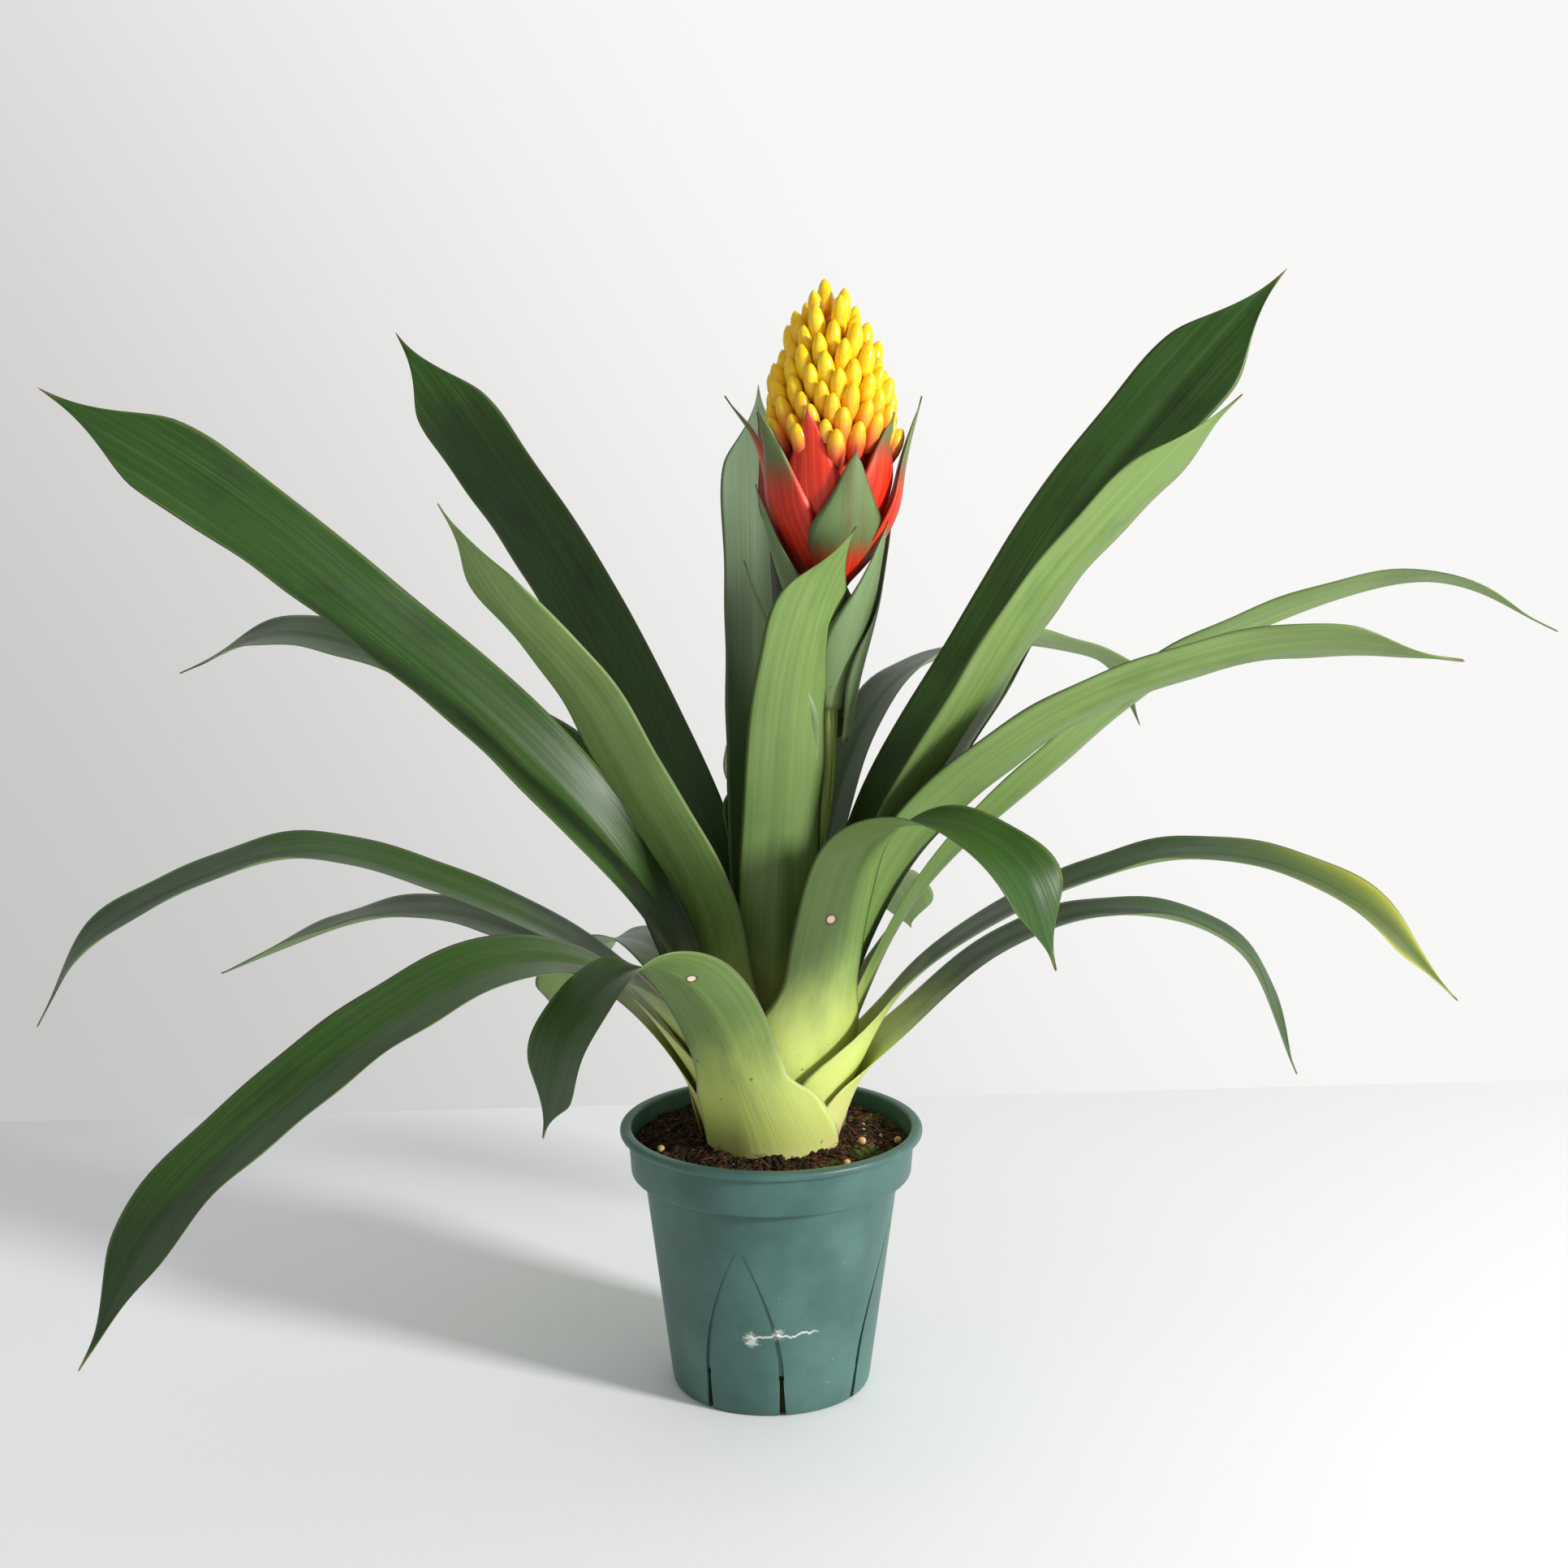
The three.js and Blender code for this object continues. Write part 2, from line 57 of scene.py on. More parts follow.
# %% [markdown]
# The camera stands a little over a metre in front, at the height of the flower, and looks slightly
# down. It is made first, so that every later step can be looked at.

# %% Camera
camera_data = bpy.data.cameras.new("camera")
camera_data.sensor_width = 36
camera_data.lens = 54.04
camera = bpy.data.objects.new("camera", camera_data)
camera.location = (0.0064, -1.1345, 0.5153)
camera.rotation_euler = (math.radians(79.65), 0, 0)
bpy.context.collection.objects.link(camera)
bpy.context.scene.camera = camera
print("camera", tuple(camera.location), "lens", camera_data.lens, "mm")

# %% [markdown]
# ## Writing nodes as sums
# A pattern is easier to read as a sum than as a row of nodes. A Signal wraps a socket that carries
# a number, and each operator on it adds the Math node that does that sum. Everything else comes
# from one method, which takes the node's type, its settings and the values of its sockets.


# %% Signals and graphs
def plug(value, socket):
    """Joins a signal or a socket to an input, or writes a plain value on it."""
    if isinstance(value, Signal):
        value = value.socket
    if isinstance(value, bpy.types.NodeSocket):
        socket.id_data.links.new(value, socket)
    else:
        socket.default_value = value


def socket_of(sockets, key):
    if isinstance(key, int):
        return sockets[key]
    return next(s for s in sockets if s.enabled and key in (s.name, s.identifier))


class Signal:
    """A number that varies over a surface, or over the points of a geometry."""

    def __init__(self, socket):
        self.socket = socket

    def math(self, operation, *terms):
        node = self.socket.id_data.nodes.new("ShaderNodeMath")
        node.operation = operation
        for term, socket in zip(terms, node.inputs):
            plug(term, socket)
        return Signal(node.outputs[0])

    def __add__(self, other):
        return self.math("ADD", self, other)

    __radd__ = __add__

    def __mul__(self, other):
        return self.math("MULTIPLY", self, other)

    __rmul__ = __mul__

    def __sub__(self, other):
        return self.math("SUBTRACT", self, other)

    def __rsub__(self, other):
        return self.math("SUBTRACT", other, self)

    def __truediv__(self, other):
        return self.math("DIVIDE", self, other)

    def __pow__(self, other):
        return self.math("POWER", self, other)

    def __abs__(self):
        return self.math("ABSOLUTE", self)


class Graph:
    """A node tree, written one node at a time."""

    def __init__(self, tree):
        self.tree = tree

    def node(self, kind, settings=None, values=None):
        made = self.tree.nodes.new(kind)
        for name, value in (settings or {}).items():
            setattr(made, name, value)
        for key, value in (values or {}).items():
            plug(value, socket_of(made.inputs, key))
        return made

    def rise(self, signal, start, end, low=0.0, high=1.0):
        """Goes smoothly from low to high as the signal goes from start to end."""
        settings = {"interpolation_type": "SMOOTHSTEP"}
        values = {"Value": signal, "From Min": start, "From Max": end, "To Min": low, "To Max": high}
        return Signal(self.node("ShaderNodeMapRange", settings, values).outputs[0])


# %% [markdown]
# ## A finish
# Every finish is one Principled shader. What is the same all over is set on the shader's own
# socket. What varies is a pattern in the object's own coordinates, or in a map that follows the
# leaf, so that it stays put when the object is seen from another side.


# %% Finish helpers
def paint(red, green, blue):
    """A colour in everyday 0 to 255 steps, as the linear values a shader takes."""
    steps = np.array([red, green, blue]) / 255
    linear = np.where(steps <= 0.04045, steps / 12.92, ((steps + 0.055) / 1.055) ** 2.4)
    return (*linear.tolist(), 1.0)


class Finish(Graph):
    def __init__(self, name, constants):
        self.material = bpy.data.materials.new(name)
        self.material.use_nodes = True
        super().__init__(self.material.node_tree)
        self.shader = self.tree.nodes["Principled BSDF"]
        for key, value in constants.items():
            self.shader.inputs[key].default_value = value
        self.place = self.node("ShaderNodeTexCoord").outputs["Object"]
        axes = self.node("ShaderNodeSeparateXYZ", values={"Vector": self.place})
        self.x, self.y, self.z = (Signal(s) for s in axes.outputs)

    def level(self, name):
        """A number stored on the mesh's points."""
        return Signal(self.node("ShaderNodeAttribute", {"attribute_name": name}).outputs["Fac"])

    def along_leaf(self):
        return self.node("ShaderNodeUVMap", {"uv_map": "blade"}).outputs["UV"]

    def stretched(self, where, scale):
        return self.node("ShaderNodeMapping", values={"Vector": where, "Scale": scale}).outputs[0]

    def noise(self, where, scale, detail=3.0, roughness=0.55):
        values = {"Vector": where, "Scale": scale, "Detail": detail, "Roughness": roughness}
        return Signal(self.node("ShaderNodeTexNoise", values=values).outputs[0])

    def mix(self, first, second, share):
        settings = {"data_type": "RGBA", "clamp_factor": True}
        values = {"Factor_Float": share, "A_Color": first, "B_Color": second}
        return socket_of(self.node("ShaderNodeMix", settings, values).outputs, "Result_Color")

    def distance_to(self, point):
        offset = self.node("ShaderNodeVectorMath", {"operation": "DISTANCE"}, {0: self.place, 1: point})
        return Signal(offset.outputs["Value"])

    def set(self, key, value):
        plug(value, self.shader.inputs[key])

    def emboss(self, height, depth):
        values = {"Height": height, "Distance": depth, "Strength": 1.0}
        self.set("Normal", self.node("ShaderNodeBump", values=values).outputs[0])


# %% [markdown]
# ## Leaf finish
# A bromeliad leaf is waxy and deep green above, and paler and greyer below, where fine scales
# scatter the light. Sap lines run along it. Its clasping base holds little leaf-green, so it fades
# to yellow-green and cream towards the soil. The way along the leaf from its foot sets that fade,
# so a leaf that droops to the height of the pot keeps its green point. The thin margin is a little
# brown, and so is the driest part of the point.


# %% Leaf finish
def leaf_finish():
    leaf = Finish("leaf_green", {"IOR": 1.45, "Specular IOR Level": 0.5})
    upper = leaf.level("upper")
    edge = leaf.level("edge")
    along = leaf.level("along")
    yellow = leaf.level("yellow")
    blade = leaf.along_leaf()
    sap_lines = leaf.noise(leaf.stretched(blade, (1100, 10, 1)), 1.0, 2.0)
    soft_lines = leaf.noise(leaf.stretched(blade, (420, 5, 1)), 1.0, 2.0)
    blotches = leaf.noise(leaf.stretched(blade, (55, 22, 1)), 1.0, 4.0)

    top = leaf.mix(paint(30, 62, 8), paint(46, 84, 17), leaf.rise(soft_lines, 0.2, 0.85))
    top = leaf.mix(top, paint(14, 40, 5), leaf.rise(blotches, 0.48, 0.75, 0.0, 0.5))
    under = leaf.mix(paint(112, 140, 72), paint(132, 160, 92), leaf.rise(soft_lines, 0.2, 0.85))
    under = leaf.mix(under, paint(84, 114, 56), leaf.rise(blotches, 0.48, 0.8, 0.0, 0.55))
    blade_colour = leaf.mix(under, top, upper)
    from_foot = Signal(leaf.node("ShaderNodeSeparateXYZ", values={"Vector": blade}).outputs["Y"])
    reach = from_foot + (blotches - 0.5) * 0.05
    blade_colour = leaf.mix(blade_colour, paint(58, 88, 26), leaf.rise(reach, 0.34, 0.12, 0.0, 0.42))

    lime = leaf.mix(paint(230, 216, 152), paint(204, 216, 118), leaf.rise(reach, 0.01, 0.055))
    blade_colour = leaf.mix(lime, blade_colour, leaf.rise(reach, 0.045, 0.125))
    # A grey-green layer: on the tall back leaf, towards its point, it is a painted sheen of the light from
    # behind; on the stem bracts it is a light bloom.
    blade_colour = leaf.mix(blade_colour, paint(140, 162, 132), leaf.level("bloom_and_sheen"))
    blade_colour = leaf.mix(blade_colour, paint(150, 118, 66), leaf.rise(reach, 0.026, 0.012, 0.0, 0.7))

    margin = leaf.mix(paint(240, 232, 196), paint(136, 118, 84), leaf.rise(reach, 0.07, 0.16))
    speckle = leaf.noise(leaf.place, 260.0, 1.0)
    flecks = leaf.rise(speckle, 0.745, 0.79, 0.0, 0.6) * leaf.rise(reach, 0.16, 0.1)
    blade_colour = leaf.mix(blade_colour, paint(96, 60, 34), flecks)
    yellowed = yellow * leaf.rise(blotches, 0.2, 0.6, 0.6, 1.0)
    blade_colour = leaf.mix(blade_colour, paint(196, 196, 62), yellowed)
    blade_colour = leaf.mix(blade_colour, margin, leaf.rise(edge, 0.94, 1.0, 0.0, 0.3))
    dry_tip = leaf.rise(along, 0.972, 0.997)
    blade_colour = leaf.mix(blade_colour, paint(120, 92, 58), dry_tip * 0.85)
    for scar in SCARS:
        away = leaf.distance_to(scar)
        blade_colour = leaf.mix(blade_colour, paint(112, 62, 40), leaf.rise(away, 0.0034, 0.0026))
        blade_colour = leaf.mix(blade_colour, paint(238, 226, 206), leaf.rise(away, 0.0024, 0.0017))
    # Faint painted white glints along the sap lines.
    painted_glint = leaf.rise(sap_lines, 0.55, 0.9, 0.0, 0.05)
    leaf.set("Base Color", leaf.mix(blade_colour, paint(255, 255, 255), painted_glint))
    leaf.set("Roughness", leaf.rise(upper, 0.0, 1.0, 0.5, 0.42) + (blotches - 0.5) * 0.12)
    leaf.emboss(sap_lines * 0.6 + soft_lines, 0.00018)
    return leaf.material


# %% [markdown]
# ## From a coarse strap to a leaf
# In the frame a leaf is a strap of eight-sided rings that ends in one point. That point is the only
# corner with eight neighbours, so the rings can be read off from it, ring by ring, without knowing
# any leaf's size. First the corners that faces share are made one, so that neighbours can be found.


# %% Welded corners
def welded(name):
    """A node's corners and triangles, with the corners that its faces share made one."""
    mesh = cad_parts[name].data
    corners = np.empty(len(mesh.vertices) * 3)
    mesh.vertices.foreach_get("co", corners)
    points, shared = np.unique(np.round(corners.reshape(-1, 3), 7), axis=0, return_inverse=True)
    shared = shared.reshape(-1)
    return points, [tuple(shared[list(face.vertices)]) for face in mesh.polygons]


# %% [markdown]
# Counting steps away from the tip sorts the corners into rings. Going round a ring follows the way
# its faces turn. One edge of the strap has three neighbours in the next ring, and every ring is
# begun there, so that the first corners of all rings make one line along the leaf.


# %% Read a strap's rings
def strap_rings(name):
    """The rings from base to tip as (edge, under x3, edge, upper x3), and the tip."""
    points, faces = welded(name)
    near = [set() for _ in points]
    for face in faces:
        for k in range(3):
            near[face[k]].update({face[k - 1], face[k - 2]})
    tip = next(v for v, found in enumerate(near) if len(found) == 8)
    levels = {tip: 0}
    front = [tip]
    while front:
        front = sorted({v for u in front for v in near[u]} - set(levels))
        step = max(levels.values()) + 1
        levels.update({v: step for v in front})
    following = {}
    for face in faces:
        for k in range(3):
            a, b, c = face[k], face[(k + 1) % 3], face[(k + 2) % 3]
            if levels[a] == levels[b] == levels[c] + 1:
                following[a] = b
    starts = []
    for step in range(2, max(levels.values()) + 1):
        ring = [v for v in levels if levels[v] == step]
        starts.append(next(v for v in ring if sum(levels[u] == step - 1 for u in near[v]) == 3))
    nearest_tip = {u for u in near[starts[0]] if levels[u] == 1}
    first = next(v for v in nearest_tip if following[v] in nearest_tip and
                 any(following[u] == v for u in nearest_tip))
    walked = []
    for start in [first, *starts]:
        ring = [start]
        while len(ring) < 8:
            ring.append(following[ring[-1]])
        walked.append(points[ring])
    return np.array(walked[::-1]), points[tip]


# %% [markdown]
# A grown leaf bends without kinks. A natural cubic spline does the same: it goes through every ring
# with no sudden change of bend, and can be read at as many places as the fine surface needs.


# %% Smooth curves
def smooth_through(knots, values, at):
    """A natural cubic spline through the values, read at the given places."""
    gaps = np.diff(knots)[:, None]
    slopes = np.diff(values, axis=0) / gaps
    system = np.eye(len(knots))
    bends = np.zeros_like(values)
    for k in range(1, len(knots) - 1):
        system[k, k - 1:k + 2] = gaps[k - 1, 0], 2 * (gaps[k - 1, 0] + gaps[k, 0]), gaps[k, 0]
        bends[k] = 6 * (slopes[k] - slopes[k - 1])
    bends = np.linalg.solve(system, bends)
    k = np.clip(np.searchsorted(knots, at) - 1, 0, len(gaps) - 1)
    gap = gaps[k]
    past = at[:, None] - knots[k][:, None]
    left = gap - past
    curve = (bends[k] * left ** 3 + bends[k + 1] * past ** 3) / (6 * gap)
    curve = curve + (values[k] / gap - bends[k] * gap / 6) * left
    return curve + (values[k + 1] / gap - bends[k + 1] * gap / 6) * past


def ease(start, end, value):
    """Goes smoothly from 0 to 1 as the value goes from start to end."""
    share = np.clip((value - start) / (end - start), 0, 1)
    return share * share * (3 - 2 * share)


# %% [markdown]
# ## Pieces
# A piece is a mesh made from points and faces, where it stands on the object. It can store numbers
# on its points for the finish to read. When it is done it gets its material and the root body, and
# the frame's solids that it stands for are hidden.


# %% Pieces
def new_piece(name, points, faces):
    mesh = bpy.data.meshes.new(name)
    mesh.from_pydata([tuple(p) for p in points], [], faces)
    mesh.validate()
    mesh.shade_smooth()
    piece = bpy.data.objects.new(name, mesh)
    bpy.context.collection.objects.link(piece)
    return piece


def store(mesh, name, values):
    """Keeps one number for each point, under a name that a finish can read."""
    level = mesh.attributes.new(name, "FLOAT", "POINT")
    level.data.foreach_set("value", np.asarray(values, np.float32))


def signed_volume(mesh):
    """The volume inside, which is below zero where the faces look inwards."""
    mesh.calc_loop_triangles()
    corners = np.array([v.co for v in mesh.vertices])
    tri = corners[np.array([t.vertices for t in mesh.loop_triangles])]
    return float(np.sum(tri[:, 0] * np.cross(tri[:, 1], tri[:, 2])) / 6)


def settle(piece, slot, material, *nodes):
    """Gives a finished piece its material and the root body, and hides the frame's nodes that it stands for.
    The slot is not used.
    """
    piece.data.materials.clear()
    piece.data.materials.append(material)
    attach(piece, "root")
    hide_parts(*nodes)


# %% [markdown]
# ## The surface of a blade
# Every section of a strap is part of a circle. The fine surface reads that circle from the two
# edges and the middle, so a sheath can be widened along its own circle and still nest between its
# neighbours. Rows crowd towards the tip, where the outline bends most, and the last stretch is
# drawn in to a slender point.

# %% Blade surface
TIP_CROWDING = 1.35
TIP_NARROWING = 0.8


def blade_surface(name, rows, columns, tip_narrowing, spread=None):
    """The blade's middle surface as a grid, its upward normals, where its rows and columns are,
    and its length. spread gives how far each side reaches, as a share of the strap's half width."""
    rings, tip = strap_rings(name)
    sections = np.stack([rings[:, 0], (rings[:, 2] + rings[:, 6]) / 2, rings[:, 4]], 1)
    sections = np.concatenate([sections, np.repeat(tip[None, None], 3, 1)])
    lengths = np.r_[0, np.cumsum(np.linalg.norm(np.diff(sections[:, 1], axis=0), axis=1))]
    along = 1 - (1 - np.linspace(0, 1, rows)) ** TIP_CROWDING
    knots = lengths / lengths[-1]
    fine = smooth_through(knots, sections.reshape(len(sections), -1), along).reshape(rows, 3, 3)
    across = np.linspace(-1, 1, columns)
    chord = (fine[:, 2] - fine[:, 0]) / 2
    sag = (fine[:, 0] + fine[:, 2]) / 2 - fine[:, 1]
    half, depth = (np.linalg.norm(v, axis=1, keepdims=True) + 1e-9 for v in (chord, sag))
    angle = 2 * np.arctan(depth / half)
    left, right = spread(along) if spread else (np.ones(rows), np.ones(rows))
    turn = angle * np.where(across < 0, left[:, None], right[:, None]) * across
    sideways = (half / np.sin(angle) * np.sin(turn))[..., None] * (chord / half)[:, None]
    inward = (half / np.sin(angle) * (1 - np.cos(turn)))[..., None] * (sag / depth)[:, None]
    fine = fine[:, 1:2] + sideways + inward
    midrib = fine[:, columns // 2:columns // 2 + 1]
    fine = midrib + (fine - midrib) * (1 - tip_narrowing * ease(0.88, 0.99, along))[:, None, None]
    upward = np.cross(np.gradient(fine, axis=0), np.gradient(fine, axis=1))
    upward /= np.linalg.norm(upward, axis=2, keepdims=True) + 1e-12
    if np.sum(upward[rows // 4, columns // 2] * (rings[4, 6] - rings[4, 2])) < 0:
        upward = -upward
    return fine, upward, along, across, lengths[-1]


def sheath_spread(left, right, start, end):
    """Both sides of the foot reach further by these shares, fading from start to end of the length."""
    return lambda along: tuple(1 + side * (1 - ease(start, end, along)) for side in (left, right))


# %% [markdown]
# A blade is thickest along its middle and thins to a closed edge. It gets two skins that share
# their edges, a cap at the base and one corner at the tip, so it is one closed body. Its edges
# ripple a little, and a shallow groove runs down the middle. Each point stores where it is on the
# blade, and a map in metres lets the finish follow it. A stem bract starts further up that map,
# because it grows above the part of the plant that pales. So does the front left leaf, a little,
# because it is green almost down to the soil.

# %% Build a fine blade
FADE_STARTS = {"leaf_front_left_folded": 0.026}
STEM_BRACT_FADE_START = 0.1


def fade_start(name):
    return STEM_BRACT_FADE_START if name.startswith("stem") else FADE_STARTS.get(name, 0.0)


def blade_skins(rows, columns):
    """The faces of a blade whose upper skin has every column and whose under skin has only the
    inner ones, and the (column, row) of every point."""
    last, inner = rows - 1, columns - 2
    tip = last * columns + last * inner

    def top(r, c):
        return r * columns + c

    def low(r, c):
        return top(r, c) if c in (0, columns - 1) else last * columns + r * inner + c - 1

    faces = []
    for c in range(columns - 1):
        for r in range(last - 1):
            faces.append((top(r, c), top(r, c + 1), top(r + 1, c + 1), top(r + 1, c)))
            faces.append((low(r, c), low(r + 1, c), low(r + 1, c + 1), low(r, c + 1)))
        faces.append((top(last - 1, c), top(last - 1, c + 1), tip))
        faces.append((low(last - 1, c + 1), low(last - 1, c), tip))
        cap = [top(0, c + 1), top(0, c), low(0, c), low(0, c + 1)]
        faces.append(tuple(dict.fromkeys(cap)))
    places = [(c, r) for r in range(last) for c in range(columns)]
    places += [(c, r) for r in range(last) for c in range(1, columns - 1)]
    return faces, np.array([*places, (columns // 2, last)]).T


def blade_piece(name, rows, columns, thickness, phase, spread, ripple=0.0, groove=0.0):
    """One blade, and for each of its points the share of the length and how near an edge it is."""
    fine, upward, along, across, length = blade_surface(name, rows, columns, TIP_NARROWING, spread)
    widths = np.linalg.norm(fine[:, -1] - fine[:, 0], axis=1)
    waves = np.sin(along * length * 95 + phase) * np.sin(along * length * 31 + phase * 2.3)
    wavy = waves[:, None] * np.abs(across) ** 3 * ripple * ease(0.3, 0.6, along)[:, None]
    fine = fine + upward * wavy[..., None]
    grooved = ease(0.2, 0.35, along) * (1 - ease(0.8, 0.98, along))
    channel = np.exp(-(across / 0.2) ** 2) * groove * grooved[:, None]
    fine = fine - upward * channel[..., None]
    half = thickness / 2 * (1 - across ** 2) ** 0.6
    last = rows - 1
    upper = (fine + upward * half[None, :, None])[:last]
    under = (fine - upward * half[None, :, None])[:last, 1:-1]
    points = np.concatenate([upper.reshape(-1, 3), under.reshape(-1, 3), fine[last, columns // 2][None]])
    faces, (column, row) = blade_skins(rows, columns)
    piece = new_piece(name.replace("leaf_", "blade_"), points, faces)
    mesh = piece.data
    on_upper = np.arange(len(points)) < last * columns
    on_rim = (column % (columns - 1) == 0) | (row == last)
    store(mesh, "upper", np.where(on_rim, 0.5, on_upper))
    store(mesh, "edge", np.abs(across[column]))
    store(mesh, "along", along[row])
    corners = np.empty(len(mesh.loops), np.int32)
    mesh.loops.foreach_get("vertex_index", corners)
    sideways = across[column] * widths[row] / 2
    blade_map = np.stack([sideways[corners], along[row][corners] * length + fade_start(name)], 1)
    mesh.uv_layers.new(name="blade").data.foreach_set("uv", blade_map.reshape(-1))
    if signed_volume(mesh) < 0:
        mesh.flip_normals()
    return piece, along[row], np.abs(across[column])


# %% [markdown]
# ## The leaves
# All leaves are made by the same few lines. The two folded leaves in front carry old scars, small
# pale spots with a brown rim, where the folded blade was bruised. One leaf on the right is an old
# one that has begun to yellow from its tip.

# %% Scars
LEAF_NAMES = sorted(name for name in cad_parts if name.startswith("leaf_"))


def on_blade(name, along, across):
    """A point on a leaf's under side, given as shares of its length and half width."""
    fine, upward, rows, columns, _ = blade_surface(name, 60, 11, 0.0)
    r, c = np.argmin(np.abs(rows - along)), np.argmin(np.abs(columns - across))
    return tuple((fine[r, c] - upward[r, c] * 0.00035).tolist())


SCARS = [on_blade("leaf_front_left_folded", 0.5, 0.2), on_blade("leaf_front_right_folded", 0.42, -0.2)]
LEAF_FINISH = leaf_finish()
print("leaf finish", len(LEAF_FINISH.node_tree.nodes), "nodes, scars", len(SCARS))

# %% [markdown]
# The sheaths of the front leaves wrap further round the plant than the others, and on one side
# more than on the other, so that each overlaps the next. The tall leaf on the right is folded
# deepest along its middle, and the tall one at the back is painted grey-green towards its point,
# a painted sheen of the light from behind it.

# %% Leaves
SHEATHS = {
    "leaf_front_left_folded": (0.1, 0.45, 0.17, 0.235),
    "leaf_front_right_folded": (0.8, 0.6, 0.18, 0.33),
    "leaf_right_yellowing": (0.85, 0.4, 0.13, 0.22),
    "leaf_right_narrow": (0.7, 0.4, 0.12, 0.21),
}
PLAIN_SHEATH = (0.25, 0.25, 0.12, 0.28)
MIDRIB_GROOVES = {"leaf_right_tall": 0.0024}
PLAIN_GROOVE = 0.0011
# The tall back leaf is painted grey towards its point, a painted sheen.
PAINTED_SHEENS = {"leaf_back_tall": 0.55}
YELLOWING = {"leaf_right_yellowing": 1.0}

for order, leaf_name in enumerate(LEAF_NAMES):
    blade, share, edge = blade_piece(
        leaf_name, 90, 21, thickness=0.0009, ripple=0.0011, phase=order * 1.7,
        spread=sheath_spread(*SHEATHS.get(leaf_name, PLAIN_SHEATH)),
        groove=MIDRIB_GROOVES.get(leaf_name, PLAIN_GROOVE))
    yellow = ease(0.62, 0.98, share) * (0.12 + 0.88 * edge ** 3)
    store(blade.data, "yellow", yellow * YELLOWING.get(leaf_name, 0.0))
    store(blade.data, "bloom_and_sheen", ease(0.4, 0.9, share) * PAINTED_SHEENS.get(leaf_name, 0.0))
    settle(blade, "leaf", LEAF_FINISH, leaf_name)
print("leaves", len(LEAF_NAMES), "faces each", len(blade.data.polygons))

# %% [markdown]
# ## Bracts
# Bracts are small leaves round the stem. The ones under the flower are red and keep green or brown
# only towards their points, and one of them in front stayed almost wholly green. Where a bract
# turns from red to green is one stored number, so one finish serves all of them.


# %% Bract finishes
def bract_finish():
    bract = Finish("bract_red_to_green", {"IOR": 1.45})
    green, along = bract.level("green"), bract.level("along")
    lines = bract.noise(bract.stretched(bract.along_leaf(), (500, 12, 1)), 1.0, 2.0)
    blotches = bract.noise(bract.stretched(bract.along_leaf(), (110, 14, 1)), 1.0, 3.0)
    red = bract.mix(paint(196, 30, 14), paint(232, 66, 30), bract.rise(lines, 0.3, 0.75))
    red = bract.mix(red, paint(236, 120, 100), bract.rise(along, 0.86, 1.0, 0.0, 0.55))
    greened = bract.rise(green, 0.45, 1.0) * bract.rise(blotches, 0.25, 0.6)
    turned = bract.mix(paint(104, 92, 54), paint(106, 130, 80), greened)
    turned = bract.mix(turned, paint(62, 48, 42), bract.rise(along, 0.9, 1.0, 0.0, 0.8))
    share = bract.rise(green + (blotches - 0.5) * 0.5, 0.12, 0.88)
    bract.set("Base Color", bract.mix(red, turned, share))
    bract.set("Roughness", bract.rise(blotches, 0.2, 0.8, 0.36, 0.5))
    bract.emboss(lines, 0.00015)
    return bract.material


BRACT_FINISH = bract_finish()

# %% [markdown]
# Each head bract has a share of its length where it turns from red to green, over a stretch on both
# sides of it. The stem bracts are green all along, with a light bloom, so they take the leaves'
# finish.

# %% Bracts
TURNS_GREEN_AT = {1: 0.97, 2: 0.76, 3: 0.85, 4: 0.85, 5: 0.72, 6: 0.28, 7: 0.6, 8: 0.8, 9: 0.8, 10: 0.62}
TURNING_STRETCH = 0.24
HEAD_BRACT_WIDER, STEM_BRACT_WIDER = 0.3, 0.65
bract_names = sorted(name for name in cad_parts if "bract" in name)
for order, bract_name in enumerate(bract_names):
    on_head = bract_name.startswith("head")
    wider = HEAD_BRACT_WIDER if on_head else STEM_BRACT_WIDER
    blade, share, _ = blade_piece(bract_name, 40, 11, thickness=0.0008, phase=order,
                                  spread=sheath_spread(wider, wider, 0.35, 0.95))
    blade.name = bract_name + "_blade"
    if on_head:
        turn = TURNS_GREEN_AT[int(bract_name.rsplit("_", 1)[1])]
        store(blade.data, "green", ease(turn - TURNING_STRETCH, turn + TURNING_STRETCH, share))
        settle(blade, "head_bract", BRACT_FINISH, bract_name)
    else:
        store(blade.data, "yellow", np.zeros_like(share))
        store(blade.data, "bloom_and_sheen", np.full_like(share, 0.3))
        settle(blade, "stem_bract", LEAF_FINISH, bract_name)
print("bracts", len(bract_names))

# %% [markdown]
# ## Flower stem
# Hardly any of the stem shows between the bracts, and its shape in the frame is right, so it keeps
# that shape and only gets a finish.


# %% Stem finish
def stem_finish():
    stem = Finish("stem_green", {"IOR": 1.45})
    ribs = stem.noise(stem.stretched(stem.place, (900, 900, 12)), 1.0, 2.0)
    stem.set("Base Color", stem.mix(paint(118, 140, 60), paint(170, 186, 104), stem.rise(ribs, 0.3, 0.7)))
    stem.set("Roughness", stem.rise(ribs, 0.2, 0.8, 0.4, 0.55))
    stem.emboss(ribs, 0.0002)
    return stem.material


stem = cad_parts["flower_stem"]
stem.data.materials.clear()
stem.data.materials.append(stem_finish())
print("stem", [m.name for m in stem.data.materials])


# %% [markdown]
# ## Recipes for what repeats
# Buds and crumbs of soil repeat by a rule, and Geometry Nodes are the tool for that. A Recipe is one
# such tree with named inputs. It is run on a mesh, its result is kept as a plain mesh, and the
# modifier is taken off again, so that what is left is an ordinary piece.


